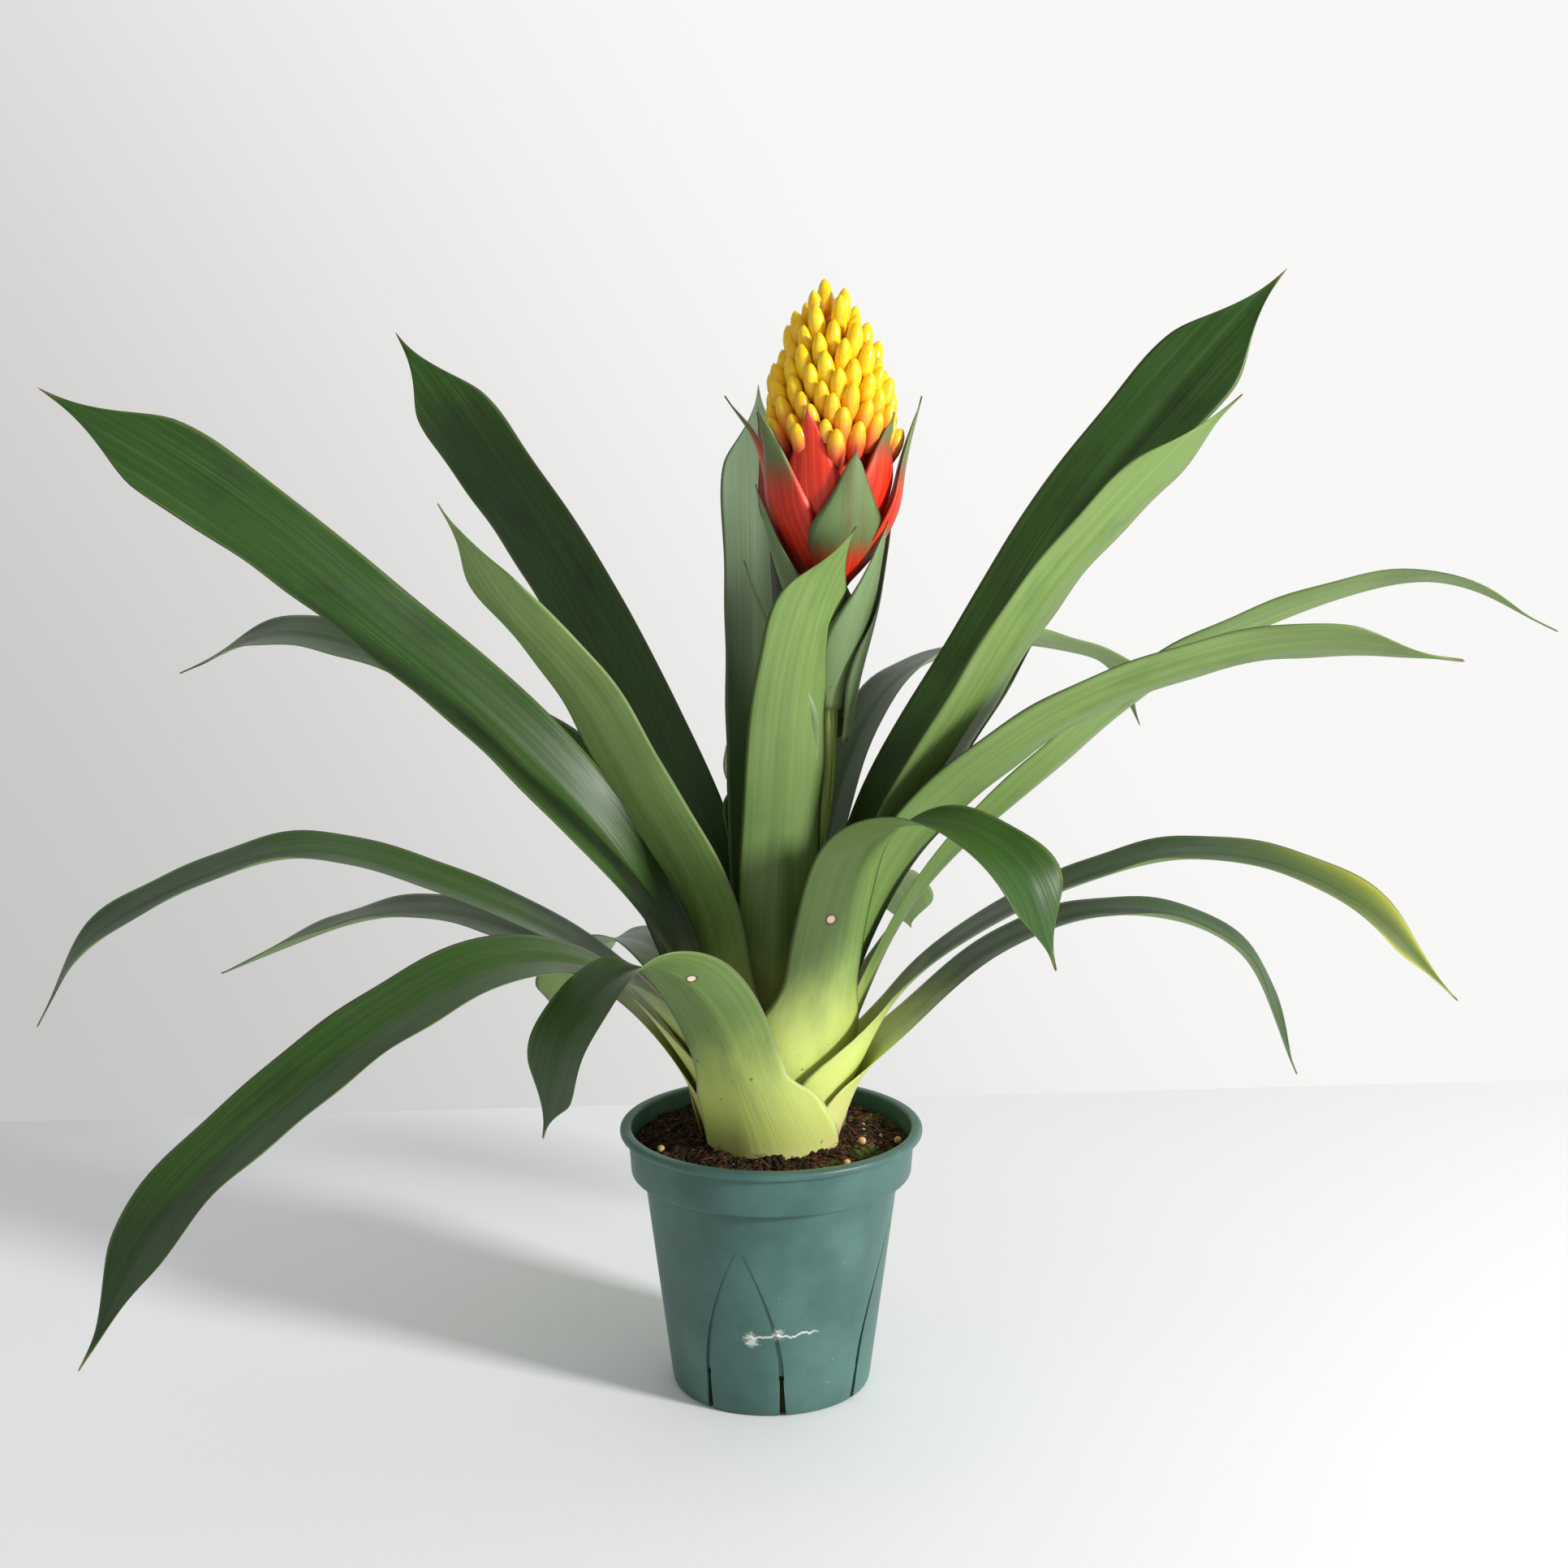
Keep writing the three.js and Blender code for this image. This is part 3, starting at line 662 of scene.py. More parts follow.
# %% Geometry Nodes helper
class Recipe(Graph):
    """A Geometry Nodes tree with named inputs, run on one mesh to make one plain piece."""

    def __init__(self, name, inputs):
        tree = bpy.data.node_groups.new(name, "GeometryNodeTree")
        super().__init__(tree)
        tree.interface.new_socket("Geometry", in_out="OUTPUT", socket_type="NodeSocketGeometry")
        tree.interface.new_socket("Geometry", in_out="INPUT", socket_type="NodeSocketGeometry")
        self.keys = {}
        for label, kind in inputs.items():
            socket = tree.interface.new_socket(label, in_out="INPUT", socket_type="NodeSocket" + kind)
            self.keys[label] = socket.identifier
        self.given = self.node("NodeGroupInput").outputs

    def read(self, label):
        return Signal(self.given[label])

    def random(self, low, high, seed):
        values = {"Min": low, "Max": high, "Seed": seed}
        draw = self.node("FunctionNodeRandomValue", {"data_type": "FLOAT"}, values)
        return Signal(socket_of(draw.outputs, "Value"))

    def finish_with(self, geometry, material):
        real = self.node("GeometryNodeRealizeInstances", values={"Geometry": geometry}).outputs[0]
        made = self.node("GeometryNodeSetMaterial", values={"Geometry": real, "Material": material})
        self.node("NodeGroupOutput", values={"Geometry": made.outputs[0]})

    def make(self, name, start, values):
        holder = bpy.data.objects.new(name, start)
        bpy.context.collection.objects.link(holder)
        modifier = holder.modifiers.new("recipe", "NODES")
        modifier.node_group = self.tree
        for label, value in values.items():
            modifier[self.keys[label]] = value
        graph = bpy.context.evaluated_depsgraph_get()
        made = bpy.data.meshes.new_from_object(holder.evaluated_get(graph), depsgraph=graph)
        holder.modifiers.clear()
        holder.data = made
        made.name = name
        return holder


# %% [markdown]
# Many parts here are round: a bud, the core of the head, the pot, a ball of fertiliser. Each is an
# outline turned round the upright axis, as on a lathe, and closed by a point at both ends.


# %% Turned bodies
def turned_body(profile, sides):
    """Points and faces of a body turned round Z, from (radius, height) pairs between two poles."""
    points = [(0, 0, profile[0][1])]
    for radius, height in profile[1:-1]:
        for k in range(sides):
            angle = 2 * math.pi * k / sides
            points.append((radius * math.cos(angle), radius * math.sin(angle), height))
    points.append((0, 0, profile[-1][1]))
    faces = [(0, 1 + (k + 1) % sides, 1 + k) for k in range(sides)]
    rings = len(profile) - 2
    for ring in range(rings - 1):
        low, high = 1 + ring * sides, 1 + (ring + 1) * sides
        for k in range(sides):
            n = (k + 1) % sides
            faces.append((low + k, low + n, high + n, high + k))
    last = 1 + (rings - 1) * sides
    faces += [(last + k, last + (k + 1) % sides, len(points) - 1) for k in range(sides)]
    return points, faces


# %% [markdown]
# ## The cone of buds
# One bud is a small plump spindle, one unit wide and one tall. It has few sides, because the cone
# holds about a hundred of them. Each of its points stores how far up the bud it is.

# %% One bud
BUD_SIDES = 8
bud_profile = [(0, 0), (0.6, 0.08), (0.9, 0.27), (1.0, 0.5), (0.9, 0.7), (0.64, 0.86), (0.3, 0.96), (0, 1)]
bud_points, bud_faces = turned_body(bud_profile, BUD_SIDES)
bud_template = new_piece("bud_template", bud_points, bud_faces)
store(bud_template.data, "ripeness", [p[2] for p in bud_points])
print("bud faces", len(bud_faces))

# %% [markdown]
# A bud is waxy and lets a little light in, so it has some scattering under its surface and a low
# roughness. It is yellow, more orange at its foot, and the buds low on the cone blush pink there.


# %% Bud finish
def bud_finish():
    bud = Finish("bud_yellow", {"IOR": 1.46, "Subsurface Weight": 0.12, "Subsurface Scale": 0.004})
    bud.shader.inputs["Subsurface Radius"].default_value = (1.0, 0.5, 0.1)
    ripeness, rise = bud.level("ripeness"), bud.level("rise")
    blush = bud.rise(ripeness, 0.4, 1.0, 1.0, 0.0) * bud.rise(rise, 0.02, 0.45, 1.0, 0.0)
    mottle = bud.noise(bud.place, 240.0, 3.0)
    yellow = bud.mix(paint(252, 196, 8), paint(255, 222, 44), bud.rise(mottle, 0.3, 0.7))
    yellow = bud.mix(yellow, paint(244, 158, 12), bud.rise(ripeness, 0.5, 0.05, 0.0, 0.7))
    colour = bud.mix(yellow, paint(226, 84, 58), blush)
    bud.set("Base Color", colour)
    bud.set("Roughness", bud.rise(mottle, 0.2, 0.8, 0.2, 0.34))
    bud.emboss(mottle, 0.00012)
    return bud.material


BUD_FINISH = bud_finish()
print("bud finish", len(BUD_FINISH.node_tree.nodes), "nodes")

# %% [markdown]
# The buds stand in a spiral in which each one turns by the golden angle from the one below, as in
# a pine cone. The tree counts the buds, works out each one's height and lean from its number, and
# puts the same bud there. Low buds lean out, and the top ones stand upright and are smaller. Two
# random draws with a fixed seed keep it from being perfect.

# %% Size of the cone
cone_low, cone_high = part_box("flower_head")
cone_axis = ((cone_low[0] + cone_high[0]) / 2, (cone_low[1] + cone_high[1]) / 2)
BUD_LENGTH = 0.0225
CONE_FOOT = cone_high[2] - 0.089
CONE_TOP = cone_high[2] - 0.0135
CONE_RADIUS = 0.0225
GOLDEN_ANGLE = math.pi * (3 - math.sqrt(5))
print("cone foot", round(CONE_FOOT, 4), "top", round(CONE_TOP, 4), "m")


def cone_width(rise):
    """The cone's radius at a share of its height, as a share of its widest. Takes a number or a Signal."""
    return (1 - rise ** 2.2) ** 0.9


# %% [markdown]
# The cone narrows towards its top, so it has room for fewer buds there. The sine of a third of an
# angle gives each bud the height at which all patches of the cone hold about as many buds.


# %% Cone of buds
def cone_recipe():
    """Puts the bud on the points of a golden-angle spiral over a rounded cone."""
    cone = Recipe("golden_spiral_cone", {
        "Bud": "Object", "Count": "Int", "Radius": "Float", "Foot": "Float", "Top": "Float",
        "Length": "Float", "Width": "Float", "Seed": "Int", "Finish": "Material"})
    count = cone.read("Count")
    line = cone.node("GeometryNodePoints", values={"Count": count})
    number = Signal(cone.node("GeometryNodeInputIndex").outputs[0])
    share = (number + 0.5) / count
    rise = 2 * share.math("SINE", share.math("ARCSINE", share) / 3)
    turn = number * GOLDEN_ANGLE
    jitter = cone.random(-1.0, 1.0, cone.read("Seed"))
    other = cone.random(-1.0, 1.0, cone.read("Seed") + 7)
    radius = cone.read("Radius") * cone_width(rise) + other * 0.0005
    height = cone.read("Foot") + rise * (cone.read("Top") - cone.read("Foot")) + jitter * 0.0012
    place = cone.node("ShaderNodeCombineXYZ", values={
        "X": radius * turn.math("COSINE", turn), "Y": radius * turn.math("SINE", turn), "Z": height})
    moved = cone.node("GeometryNodeSetPosition", values={
        "Geometry": line.outputs[0], "Position": place.outputs[0]})
    lean = 0.52 - rise * 0.44 + jitter * 0.06
    euler = cone.node("ShaderNodeCombineXYZ", values={
        "X": other * 0.06, "Y": lean, "Z": turn + jitter * 0.08})
    size = (1 - rise * 0.14) * (1 + other * 0.08)
    width = cone.read("Width") * size
    length = cone.read("Length") * size
    scale = cone.node("ShaderNodeCombineXYZ", values={"X": width, "Y": width, "Z": length})
    bud = cone.node("GeometryNodeObjectInfo", values={"Object": cone.read("Bud")})
    stood = cone.node("GeometryNodeInstanceOnPoints", values={
        "Points": moved.outputs[0], "Instance": bud.outputs["Geometry"],
        "Rotation": euler.outputs[0], "Scale": scale.outputs[0]})
    kept = cone.node("GeometryNodeStoreNamedAttribute", {"data_type": "FLOAT", "domain": "INSTANCE"}, {
        "Geometry": stood.outputs[0], "Name": "rise", "Value": rise})
    cone.finish_with(kept.outputs[0], cone.read("Finish"))
    return cone


bud_cone = cone_recipe().make("bud_cone", bpy.data.meshes.new("start"), {
    "Bud": bud_template, "Count": 104, "Radius": CONE_RADIUS, "Foot": CONE_FOOT, "Top": CONE_TOP,
    "Length": BUD_LENGTH, "Width": 0.0046, "Seed": 5, "Finish": BUD_FINISH})
bud_cone.data.transform(Matrix.Translation((*cone_axis, 0)))
bud_cone.data.shade_smooth()
settle(bud_cone, "bud", BUD_FINISH, "flower_head")
bpy.data.objects.remove(bud_template)
print("bud cone faces", len(bud_cone.data.polygons))


# %% [markdown]
# Between the buds the orange-red core of the head can be seen. It is one turned body that runs
# from the stem up to just under the top buds.

# %% Core of the head
def core_finish():
    core = Finish("head_core_orange", {"IOR": 1.45})
    mottle = core.noise(core.place, 160.0, 3.0)
    low = core.mix(paint(150, 30, 14), paint(214, 66, 30), core.rise(mottle, 0.3, 0.7))
    core.set("Base Color", core.mix(low, paint(214, 130, 16), core.rise(core.z, CONE_FOOT + 0.02, CONE_TOP)))
    core.set("Roughness", core.rise(mottle, 0.2, 0.8, 0.4, 0.6))
    core.emboss(mottle, 0.0003)
    return core.material


CORE_RADIUS = CONE_RADIUS - 0.001
core_profile = [(0, cone_low[2]), (0.0055, cone_low[2] + 0.0002), (CONE_RADIUS * 0.7, CONE_FOOT - 0.012)]
for rise in np.linspace(0, 0.97, 16):
    core_profile.append((CORE_RADIUS * cone_width(rise), CONE_FOOT + rise * (CONE_TOP - CONE_FOOT)))
core_profile.append((0, CONE_TOP))
core_points, core_faces = turned_body(core_profile, 40)
core_points = [(x + cone_axis[0], y + cone_axis[1], z) for x, y, z in core_points]
head_core = new_piece("head_core", core_points, core_faces)
settle(head_core, "bud", core_finish(), "flower_head")
print("head core faces", len(head_core.data.polygons))

# %% [markdown]
# ## The pot
# A nursery pot is a thin moulded shell: a tapered body, a step out to a straight band, and a lip
# rolled over at the top. Its outline is turned round the axis. Four pointed arches are pressed into
# the body, and each side of an arch ends in an open drainage slot at the foot. Those are cut with
# a boolean, because a cut leaves the crisp edges that a mould leaves.

# %% Pot outline
POT_RIM = (pot_high[0] - pot_low[0]) / 2
POT_TOP = pot_high[2]
BAND_RADIUS = POT_RIM - 0.0055
SHOULDER = BAND_RADIUS - 0.0065
FOOT_RADIUS = SHOULDER - 0.014
BAND_FOOT = POT_TOP - 0.025
WALL = 0.0016
LIP = 0.0045


def wall_radius(z):
    return FOOT_RADIUS + (SHOULDER - FOOT_RADIUS) * z / BAND_FOOT


def arc(centre, radius, start, end, steps):
    angles = np.radians(np.linspace(start, end, steps))
    return [(centre[0] + radius * math.cos(a), centre[1] + radius * math.sin(a)) for a in angles]


def pot_outline():
    lip_round = LIP * 0.45
    outer = [(0, 0), (FOOT_RADIUS - 0.004, 0)]
    outer += arc((FOOT_RADIUS - 0.0028, 0.003), 0.003, -80, -5, 6)
    outer += [(wall_radius(z), z) for z in np.linspace(0.006, BAND_FOOT - 0.001, 14)]
    outer += [(SHOULDER + 0.0006, BAND_FOOT - 0.0002), (SHOULDER + 0.0045, BAND_FOOT + 0.0006)]
    outer += arc((BAND_RADIUS - 0.002, BAND_FOOT + 0.0026), 0.002, -70, 0, 5)
    outer += [(BAND_RADIUS + 0.0006, POT_TOP - 0.014), (BAND_RADIUS + 0.0014, POT_TOP - LIP - 0.0006)]
    outer += [(BAND_RADIUS + 0.0022, POT_TOP - LIP)]
    outer += arc((POT_RIM - lip_round, POT_TOP - LIP + lip_round), lip_round, -75, 0, 5)
    outer += arc((POT_RIM - lip_round, POT_TOP - lip_round), lip_round, 0, 90, 6)
    outer += arc((BAND_RADIUS + 0.0014 - WALL + 0.0015, POT_TOP - 0.0015), 0.0015, 90, 180, 5)
    inner = [(BAND_RADIUS - WALL, BAND_FOOT + 0.002), (wall_radius(BAND_FOOT) - WALL, BAND_FOOT - WALL)]
    inner += [(wall_radius(0.002) - WALL, 0.002), (0, 0.002)]
    return outer + inner


pot_points, pot_faces = turned_body(pot_outline(), 160)
pot = new_piece("nursery_pot", pot_points, pot_faces)
print("pot outline points", len(pot_outline()))

# %% [markdown]
# The cutters follow the tapered wall. A groove starts fine and shallow at the arch's point and gets
# wider and deeper on its way down, until it breaks through the wall as the slot. Each cut is made
# and kept before the next, and its cutter is thrown away.

# %% Arches and slots
ARCH_CENTRES = [255 + 90 * k for k in range(4)]
ARCH_TOP, ARCH_SPRING, SLOT_TOP, ARCH_HALF = 0.092, 0.026, 0.021, 0.019


def arch_angle(z):
    rise = max(0.0, (z - ARCH_SPRING) / (ARCH_TOP - ARCH_SPRING))
    return ARCH_HALF * (1 - rise ** 1.7) / wall_radius(max(z, 0))


def cutter(heights_down, half_width, depth):
    """A closed strip that follows one side of an arch, from the first height to the last."""
    rings = []
    for k, z in enumerate(heights_down):
        share = k / (len(heights_down) - 1)
        rings.append((z, half_width(share), wall_radius(z) - depth(share), wall_radius(z) + 0.003))
    return rings


def cutter_mesh(rings, azimuth, side):
    points, faces = [], []
    for z, half, inside, outside in rings:
        middle = math.radians(azimuth) + side * arch_angle(z)
        for radius, shift in ((inside, -1), (outside, -1), (outside, 1), (inside, 1)):
            angle = middle + shift * half / radius
            points.append((radius * math.cos(angle), radius * math.sin(angle), z))
    for k in range(len(rings) - 1):
        for j in range(4):
            n = (j + 1) % 4
            faces.append((4 * k + j, 4 * k + n, 4 * k + 4 + n, 4 * k + 4 + j))
    end = 4 * (len(rings) - 1)
    faces += [(3, 2, 1, 0), (end, end + 1, end + 2, end + 3)]
    return points, faces


groove = cutter(np.linspace(ARCH_TOP - 0.004, SLOT_TOP - 0.001, 30),
                lambda s: 0.0004 + 0.0009 * s, lambda s: 0.0002 + 0.0014 * s)
slot_cut = cutter(np.linspace(SLOT_TOP, -0.002, 6), lambda s: 0.0009 + 0.0008 * s, lambda s: 0.006)
sides = [(azimuth, side) for azimuth in ARCH_CENTRES for side in (-1, 1)]
for rings, azimuth, side in [(rings, *where) for where in sides for rings in (groove, slot_cut)]:
    tool = new_piece("tool", *cutter_mesh(rings, azimuth, side))
    if signed_volume(tool.data) < 0:
        tool.data.flip_normals()
    cut = pot.modifiers.new("cut", "BOOLEAN")
    cut.operation, cut.solver, cut.object = "DIFFERENCE", "MANIFOLD", tool
    graph = bpy.context.evaluated_depsgraph_get()
    cut_mesh = bpy.data.meshes.new_from_object(pot.evaluated_get(graph), depsgraph=graph)
    pot.modifiers.clear()
    pot.data = cut_mesh
    bpy.data.objects.remove(tool)
pot.data.set_sharp_from_angle(angle=math.radians(32))
print("pot faces", len(pot.data.polygons))


# %% [markdown]
# The plastic is a dull blue-green with a soft sheen. It is lightly mottled, has pale specks of dust
# and lime, and one white stress mark across the front arch, where the wall was squeezed.

# %% Pot finish
def pot_finish():
    shell = Finish("pot_plastic", {"IOR": 1.48, "Specular IOR Level": 0.45})
    mottle = shell.noise(shell.place, 26.0, 4.0)
    fine = shell.noise(shell.place, 900.0, 2.0)
    colour = shell.mix(paint(58, 93, 87), paint(77, 114, 108), shell.rise(mottle, 0.3, 0.7))
    specks = shell.rise(shell.noise(shell.place, 420.0, 1.0), 0.74, 0.8, 0.0, 0.5)
    colour = shell.mix(colour, paint(176, 192, 184), specks * shell.rise(mottle, 0.45, 0.65))
    wander = shell.noise(shell.stretched(shell.place, (1, 0, 0)), 150.0, 4.0)
    off_line = abs(shell.z - 0.0448 - (shell.x - 0.006) * 0.06 + (wander - 0.5) * 0.009)
    line = shell.rise(off_line, 0.0008, 0.0002) * shell.rise(abs(shell.x - 0.006), 0.019, 0.013)
    torn = shell.noise(shell.stretched(shell.place, (300, 300, 620)), 1.0, 5.0, 0.75)
    left_end = shell.rise(shell.distance_to((-0.0095, -0.0528, 0.0428)), 0.0075, 0.001)
    middle = shell.rise(shell.distance_to((0.0035, -0.0533, 0.0462)), 0.0065, 0.001) * 0.9
    smear = shell.rise(left_end.math("MAXIMUM", left_end, middle) + (torn - 0.5) * 2.4, 0.4, 1.0)
    near_mark = shell.rise(shell.distance_to((0.006, -0.053, 0.045)), 0.03, 0.008)
    dust = shell.rise(torn, 0.66, 0.78, 0.0, 0.55) * near_mark
    scuff = (line + smear + dust) * shell.rise(shell.y, 0.0, -0.02)
    shell.set("Base Color", shell.mix(colour, paint(226, 232, 226), scuff * 0.72))
    shell.set("Roughness", shell.rise(mottle, 0.2, 0.8, 0.38, 0.52) + scuff * 0.2)
    shell.emboss(fine * 0.5 + mottle, 0.00012)
    return shell.material


settle(pot, "pot", pot_finish(), "pot")
print("pot material", pot.data.materials[0].name)

# %% [markdown]
# ## The potting mix
# Damp peat is a bed with loose bits on it: crumbs and lumps of peat, reddish fibres, pale perlite
# and a few round fertiliser grains. The bed is one closed body. Sums of sines make its top uneven,
# it mounds up a little round the plant, and it lies flat where it meets the pot's wall.

# %% Soil bed
SOIL_TOP = soil_high[2]
BED_SIDES, BED_RINGS = 120, 34
BED_RADIUS = soil_high[0] - 0.0005
CROWN_RADIUS = 0.040


def bump_height(x, y):
    lumps = math.sin(x * 210 + 1.1) * math.cos(y * 185 + 0.4) + 0.6 * math.sin(x * 410 - y * 370)
    lumps += 0.5 * math.sin(x * 700 + 2 * y * 520 + 0.7)
    return 0.0011 * lumps


def bed_height(x, y):
    reach = math.hypot(x, y)
    mound = 0.0022 * float(ease(BED_RADIUS, CROWN_RADIUS, reach))
    return SOIL_TOP - 0.0035 + mound + bump_height(x, y) * float(ease(0.0, 0.006, BED_RADIUS - reach))


def bed_points(rings):
    return [(r * math.cos(2 * math.pi * k / BED_SIDES), r * math.sin(2 * math.pi * k / BED_SIDES))
            for r in rings for k in range(BED_SIDES)]


top_rings = np.linspace(BED_RADIUS, 0.004, BED_RINGS)
below = [(0, 0.0024), (wall_radius(0.0024) - WALL - 0.0005, 0.0025),
         (wall_radius(0.105) - WALL - 0.0005, 0.1072), (BED_RADIUS - 0.001, 0.1145)]
bed_profile = below + [(r, SOIL_TOP) for r in top_rings] + [(0, SOIL_TOP)]
bed_xyz, bed_faces = turned_body(bed_profile, BED_SIDES)
bed_xyz = [(x, y, bed_height(x, y)) if z == SOIL_TOP else (x, y, z) for x, y, z in bed_xyz]
soil_bed = new_piece("soil_bed", bed_xyz, bed_faces)
print("soil bed faces", len(bed_faces))

# %% [markdown]
# One finish makes all the soil's parts: it is rough, goes from a dark to a light colour in fine
# grains, and can be greened by moss, which grows more on the right.


# %% Soil finish
def soil_finish(name, dark, light, moss=0.0):
    mix = Finish(name, {"IOR": 1.4, "Specular IOR Level": 0.3})
    grain = mix.noise(mix.place, 700.0, 4.0, 0.7)
    patch = mix.noise(mix.place, 60.0, 3.0)
    colour = mix.mix(dark, light, mix.rise(grain, 0.35, 0.75))
    mossy = mix.rise(patch, 0.48, 0.62) * mix.rise(mix.x, 0.0, 0.045, 0.1, 1.0) * moss
    mix.set("Base Color", mix.mix(colour, paint(84, 92, 40), mossy))
    mix.set("Roughness", mix.rise(grain, 0.2, 0.8, 0.75, 0.95))
    mix.emboss(grain, 0.0006)
    return mix.material


PEAT = soil_finish("peat_dark", paint(26, 17, 12), paint(66, 44, 32), moss=0.75)
settle(soil_bed, "soil", PEAT, "soil")

# %% [markdown]
# The loose bits are scattered on the bed's top by one tree, run once for each kind with its own
# size, number and seed. Most bits are small and a few are large, which squaring a random draw gives.


# %% Scatter recipe
def scatter_recipe():
    """Stands a shape on random points of a surface, turned and sized at random."""
    bits = Recipe("scatter_bits", {
        "Shape": "Object", "Per Square Metre": "Float", "Smallest": "Float", "Largest": "Float",
        "Flatness": "Float", "Seed": "Int", "Finish": "Material"})
    seed = bits.read("Seed")
    spots = bits.node("GeometryNodeDistributePointsOnFaces", {"distribute_method": "RANDOM"}, {
        "Mesh": bits.given["Geometry"], "Density": bits.read("Per Square Metre"), "Seed": seed})
    turn = bits.node("ShaderNodeCombineXYZ", values={
        "X": bits.random(-1.0, 1.0, seed + 1) * bits.read("Flatness"),
        "Y": bits.random(-1.0, 1.0, seed + 2) * bits.read("Flatness"),
        "Z": bits.random(0.0, 6.283, seed + 3)})
    spread = bits.random(0.0, 1.0, seed + 4) ** 2
    size = bits.read("Smallest") + spread * (bits.read("Largest") - bits.read("Smallest"))
    shape = bits.node("GeometryNodeObjectInfo", values={"Object": bits.read("Shape")})
    stood = bits.node("GeometryNodeInstanceOnPoints", values={
        "Points": spots.outputs["Points"], "Instance": shape.outputs["Geometry"],
        "Rotation": turn.outputs[0], "Scale": size})
    bits.finish_with(stood.outputs[0], bits.read("Finish"))
    return bits


# %% [markdown]
# There are thousands of bits, so each shape has only a few faces. A crumb is a turned body with its
# corners moved at random, and a fibre is a thin three-sided strand with a bend.


# %% Shapes of the bits
def crumb_shape(name, squash, roughness, seed):
    """A lumpy pebble about one unit across."""
    draw = np.random.default_rng(seed)
    profile = [(0, -0.5), (0.36, -0.36), (0.5, 0.0), (0.36, 0.36), (0, 0.5)]
    points, faces = turned_body(profile, 6)
    moved = np.array(points) * (1, 1, squash)
    moved *= 1 + draw.uniform(-roughness, roughness, (len(moved), 1))
    return new_piece(name, moved, faces)


def fibre_shape():
    """A thin bent root fibre about one unit long."""
    points, faces = [], []
    for k in range(7):
        t = k / 6
        thick = 0.022 * (1 - 0.5 * t)
        for j in range(3):
            angle = 2 * math.pi * j / 3
            points.append((t - 0.5, 0.14 * math.sin(4 * t) + thick * math.cos(angle),
                           0.16 * math.sin(math.pi * t) + thick * math.sin(angle)))
    for k in range(6):
        for j in range(3):
            n = (j + 1) % 3
            faces.append((3 * k + j, 3 * k + n, 3 * k + 3 + n, 3 * k + 3 + j))
    faces += [(2, 1, 0), (18, 19, 20)]
    shape = new_piece("fibre_shape", points, faces)
    if signed_volume(shape.data) < 0:
        shape.data.flip_normals()
    return shape


# %% [markdown]
# The bits fall only on the ring of soil that is open, between the plant and the pot's wall. The
# shapes themselves are taken away when the bits are made.


# %% Loose bits
def ring_surface():
    """The open part of the bed's top, between the crown and the pot's wall."""
    radii = np.linspace(CROWN_RADIUS - 0.006, BED_RADIUS - 0.0015, 12)
    points = [(x, y, bed_height(x, y)) for x, y in bed_points(radii)]
    faces = []
    for ring in range(len(radii) - 1):
        for k in range(BED_SIDES):
            n = (k + 1) % BED_SIDES
            a, b = ring * BED_SIDES, (ring + 1) * BED_SIDES
            faces.append((a + k, b + k, b + n, a + n))
    mesh = bpy.data.meshes.new("open_soil")
    mesh.from_pydata(points, [], faces)
    return mesh


scatter = scatter_recipe()
BROWN = soil_finish("bark_brown", paint(60, 34, 22), paint(112, 72, 48))
RUST = soil_finish("fibre_rust", paint(96, 52, 30), paint(150, 92, 58))
PALE = soil_finish("perlite_pale", paint(176, 160, 132), paint(222, 212, 190))
lump = crumb_shape("lump_shape", squash=0.8, roughness=0.22, seed=3)
chip = crumb_shape("chip_shape", squash=0.45, roughness=0.3, seed=9)
fibre = fibre_shape()
KINDS = [
    ("peat_crumbs", lump, 150000, 0.0011, 0.0046, 1.5, 11, PEAT),
    ("bark_bits", chip, 34000, 0.0015, 0.005, 1.2, 23, BROWN),
    ("root_fibres", fibre, 26000, 0.006, 0.016, 0.45, 37, RUST),
    ("perlite_bits", chip, 12000, 0.0009, 0.0024, 1.5, 41, PALE),
]
for name, shape, density, smallest, largest, flatness, seed, finish in KINDS:
    bits = scatter.make(name, ring_surface(), {
        "Shape": shape, "Per Square Metre": density, "Smallest": smallest, "Largest": largest,
        "Flatness": flatness, "Seed": seed, "Finish": finish})
    bits.data.shade_smooth()
    settle(bits, "soil", finish, "soil")
    print(name, len(bits.data.polygons), "faces")
for shape in (lump, chip, fibre):
    bpy.data.objects.remove(shape)


# %% [markdown]
# A few round fertiliser grains lie on the mix, most of them at the right. Each is a small turned
# ball, set at an angle round the pot and a distance from its axis.


# %% Fertiliser grains
def grain_finish():
    grain = Finish("grain_tan", {"IOR": 1.45})
    mottle = grain.noise(grain.place, 500.0, 2.0)
    tan = grain.mix(paint(176, 128, 74), paint(222, 186, 132), grain.rise(mottle, 0.3, 0.7))
    grain.set("Base Color", tan)
    grain.set("Roughness", grain.rise(mottle, 0.2, 0.8, 0.35, 0.5))
    return grain.material


GRAIN_RADIUS = 0.002
ball = [(GRAIN_RADIUS * math.sin(a), -GRAIN_RADIUS * math.cos(a)) for a in np.linspace(0, math.pi, 9)]
ball[0], ball[-1] = (0, -GRAIN_RADIUS), (0, GRAIN_RADIUS)
grain_points, grain_faces = [], []
for angle, reach in ((-23, 0.049), (-8, 0.064), (-52, 0.06), (200, 0.058), (120, 0.055)):
    x, y = reach * math.cos(math.radians(angle)), reach * math.sin(math.radians(angle))
    ball_points, ball_faces = turned_body(ball, 14)
    start = len(grain_points)
    grain_points += [(x + a, y + b, bed_height(x, y) + 0.0028 + c) for a, b, c in ball_points]
    grain_faces += [tuple(start + v for v in face) for face in ball_faces]
grains = new_piece("fertiliser_grains", grain_points, grain_faces)
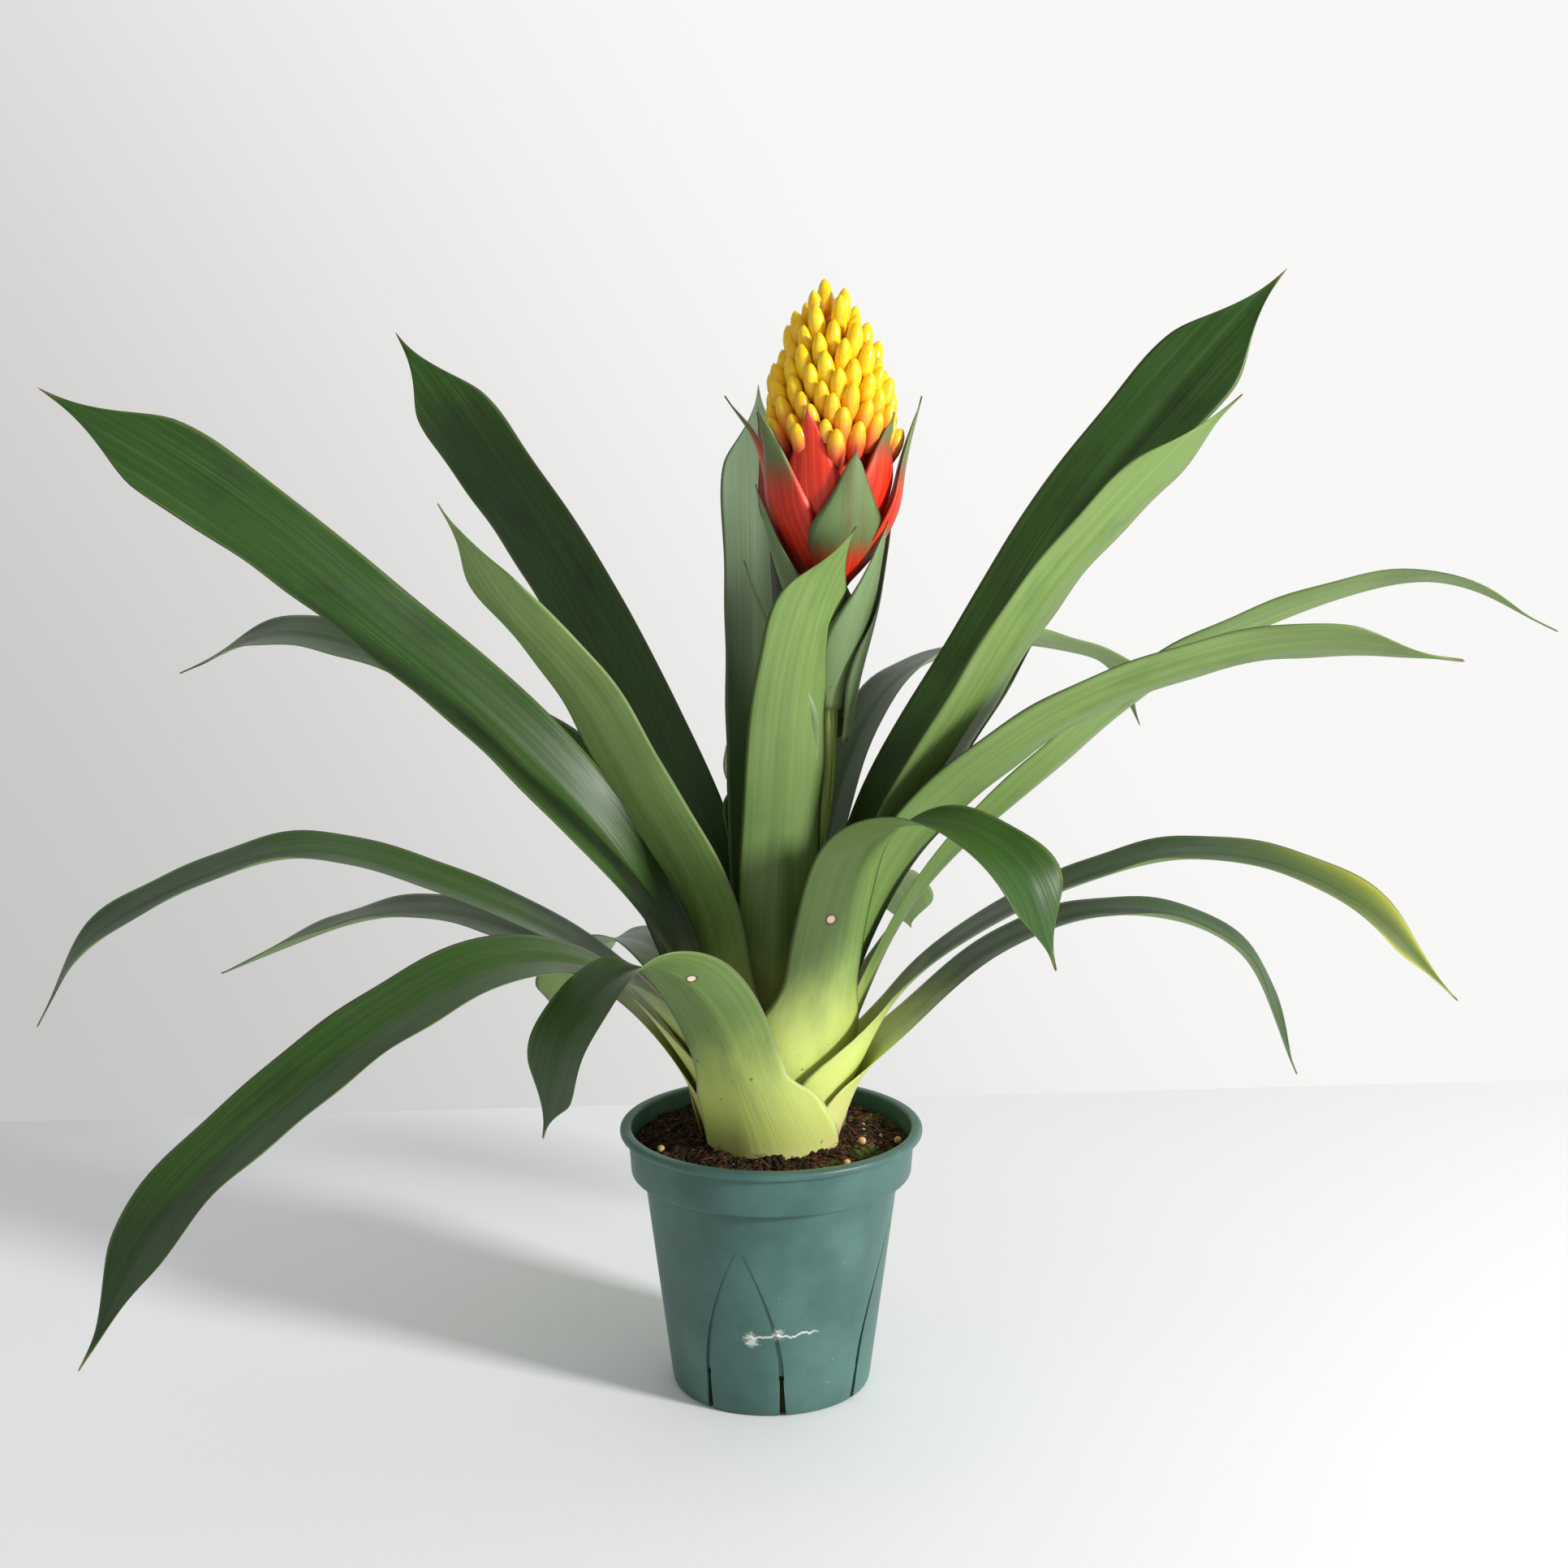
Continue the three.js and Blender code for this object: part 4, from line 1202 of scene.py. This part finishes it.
settle(grains, "soil", grain_finish(), "soil")
print("grain faces", len(grain_faces))

# %% [markdown]
# ## Floor and light
# The plant stands on a plain pale floor. Its far edge is a little behind the plant and runs not
# quite level with the view, like the edge of a table.

# %% Floor
def floor_finish():
    card = Finish("floor_white", {"Roughness": 0.8, "Specular IOR Level": 0.2})
    card.set("Base Color", card.mix(paint(243, 244, 246), paint(247, 248, 250), card.noise(card.place, 2.0)))
    return card.material


FLOOR_REACH, FLOOR_BACK, FLOOR_TURN = 4, 0.45, math.radians(5)
skew = FLOOR_REACH * math.tan(FLOOR_TURN)
floor_corners = [(-FLOOR_REACH, -FLOOR_REACH, 0), (FLOOR_REACH, -FLOOR_REACH, 0),
                 (FLOOR_REACH, FLOOR_BACK + skew, 0), (-FLOOR_REACH, FLOOR_BACK - skew, 0)]
floor = new_piece("floor", floor_corners, [(0, 1, 2, 3)])
floor.data.materials.append(floor_finish())
print("floor back edge", FLOOR_BACK, "m behind the pot's axis")

# %% [markdown]
# One light from the right and the front makes the soft shadows to the left. The rest of the light
# comes from all round, and is brighter behind the plant than in front of it, as in a room with a
# pale wall at the back.


# %% Light
def area_light(name, place, target, width, power, colour):
    data = bpy.data.lights.new(name, "AREA")
    data.size = width
    data.energy = power
    data.color = colour
    lamp = bpy.data.objects.new(name, data)
    lamp.location = place
    lamp.rotation_euler = (Vector(target) - Vector(place)).to_track_quat("-Z", "Y").to_euler()
    bpy.context.collection.objects.link(lamp)


def room_light():
    """Light from all round: brightest behind, and a little dimmer to the left."""
    world = bpy.data.worlds.new("room")
    bpy.context.scene.world = world
    world.use_nodes = True
    room = Graph(world.node_tree)
    way = room.node("ShaderNodeTexCoord").outputs["Generated"]
    x, y, z = (Signal(s) for s in room.node("ShaderNodeSeparateXYZ", values={"Vector": way}).outputs)
    behind = room.rise(y, 0.1, 0.75)
    right = room.rise(x + z * 0.6, -0.5, 0.1)
    sky = room.tree.nodes["Background"]
    sky.inputs["Color"].default_value = (1.0, 0.995, 0.985, 1)
    plug(0.43 + behind * (0.13 + right * 0.38), sky.inputs["Strength"])


area_light("window", (1.95, -1.2, 1.0), (0, 0, 0.25), 0.36, 66, (1.0, 0.99, 0.975))
room_light()
bpy.context.scene.view_settings.view_transform = "Standard"
print("lights", len(bpy.data.lights), "and the room")
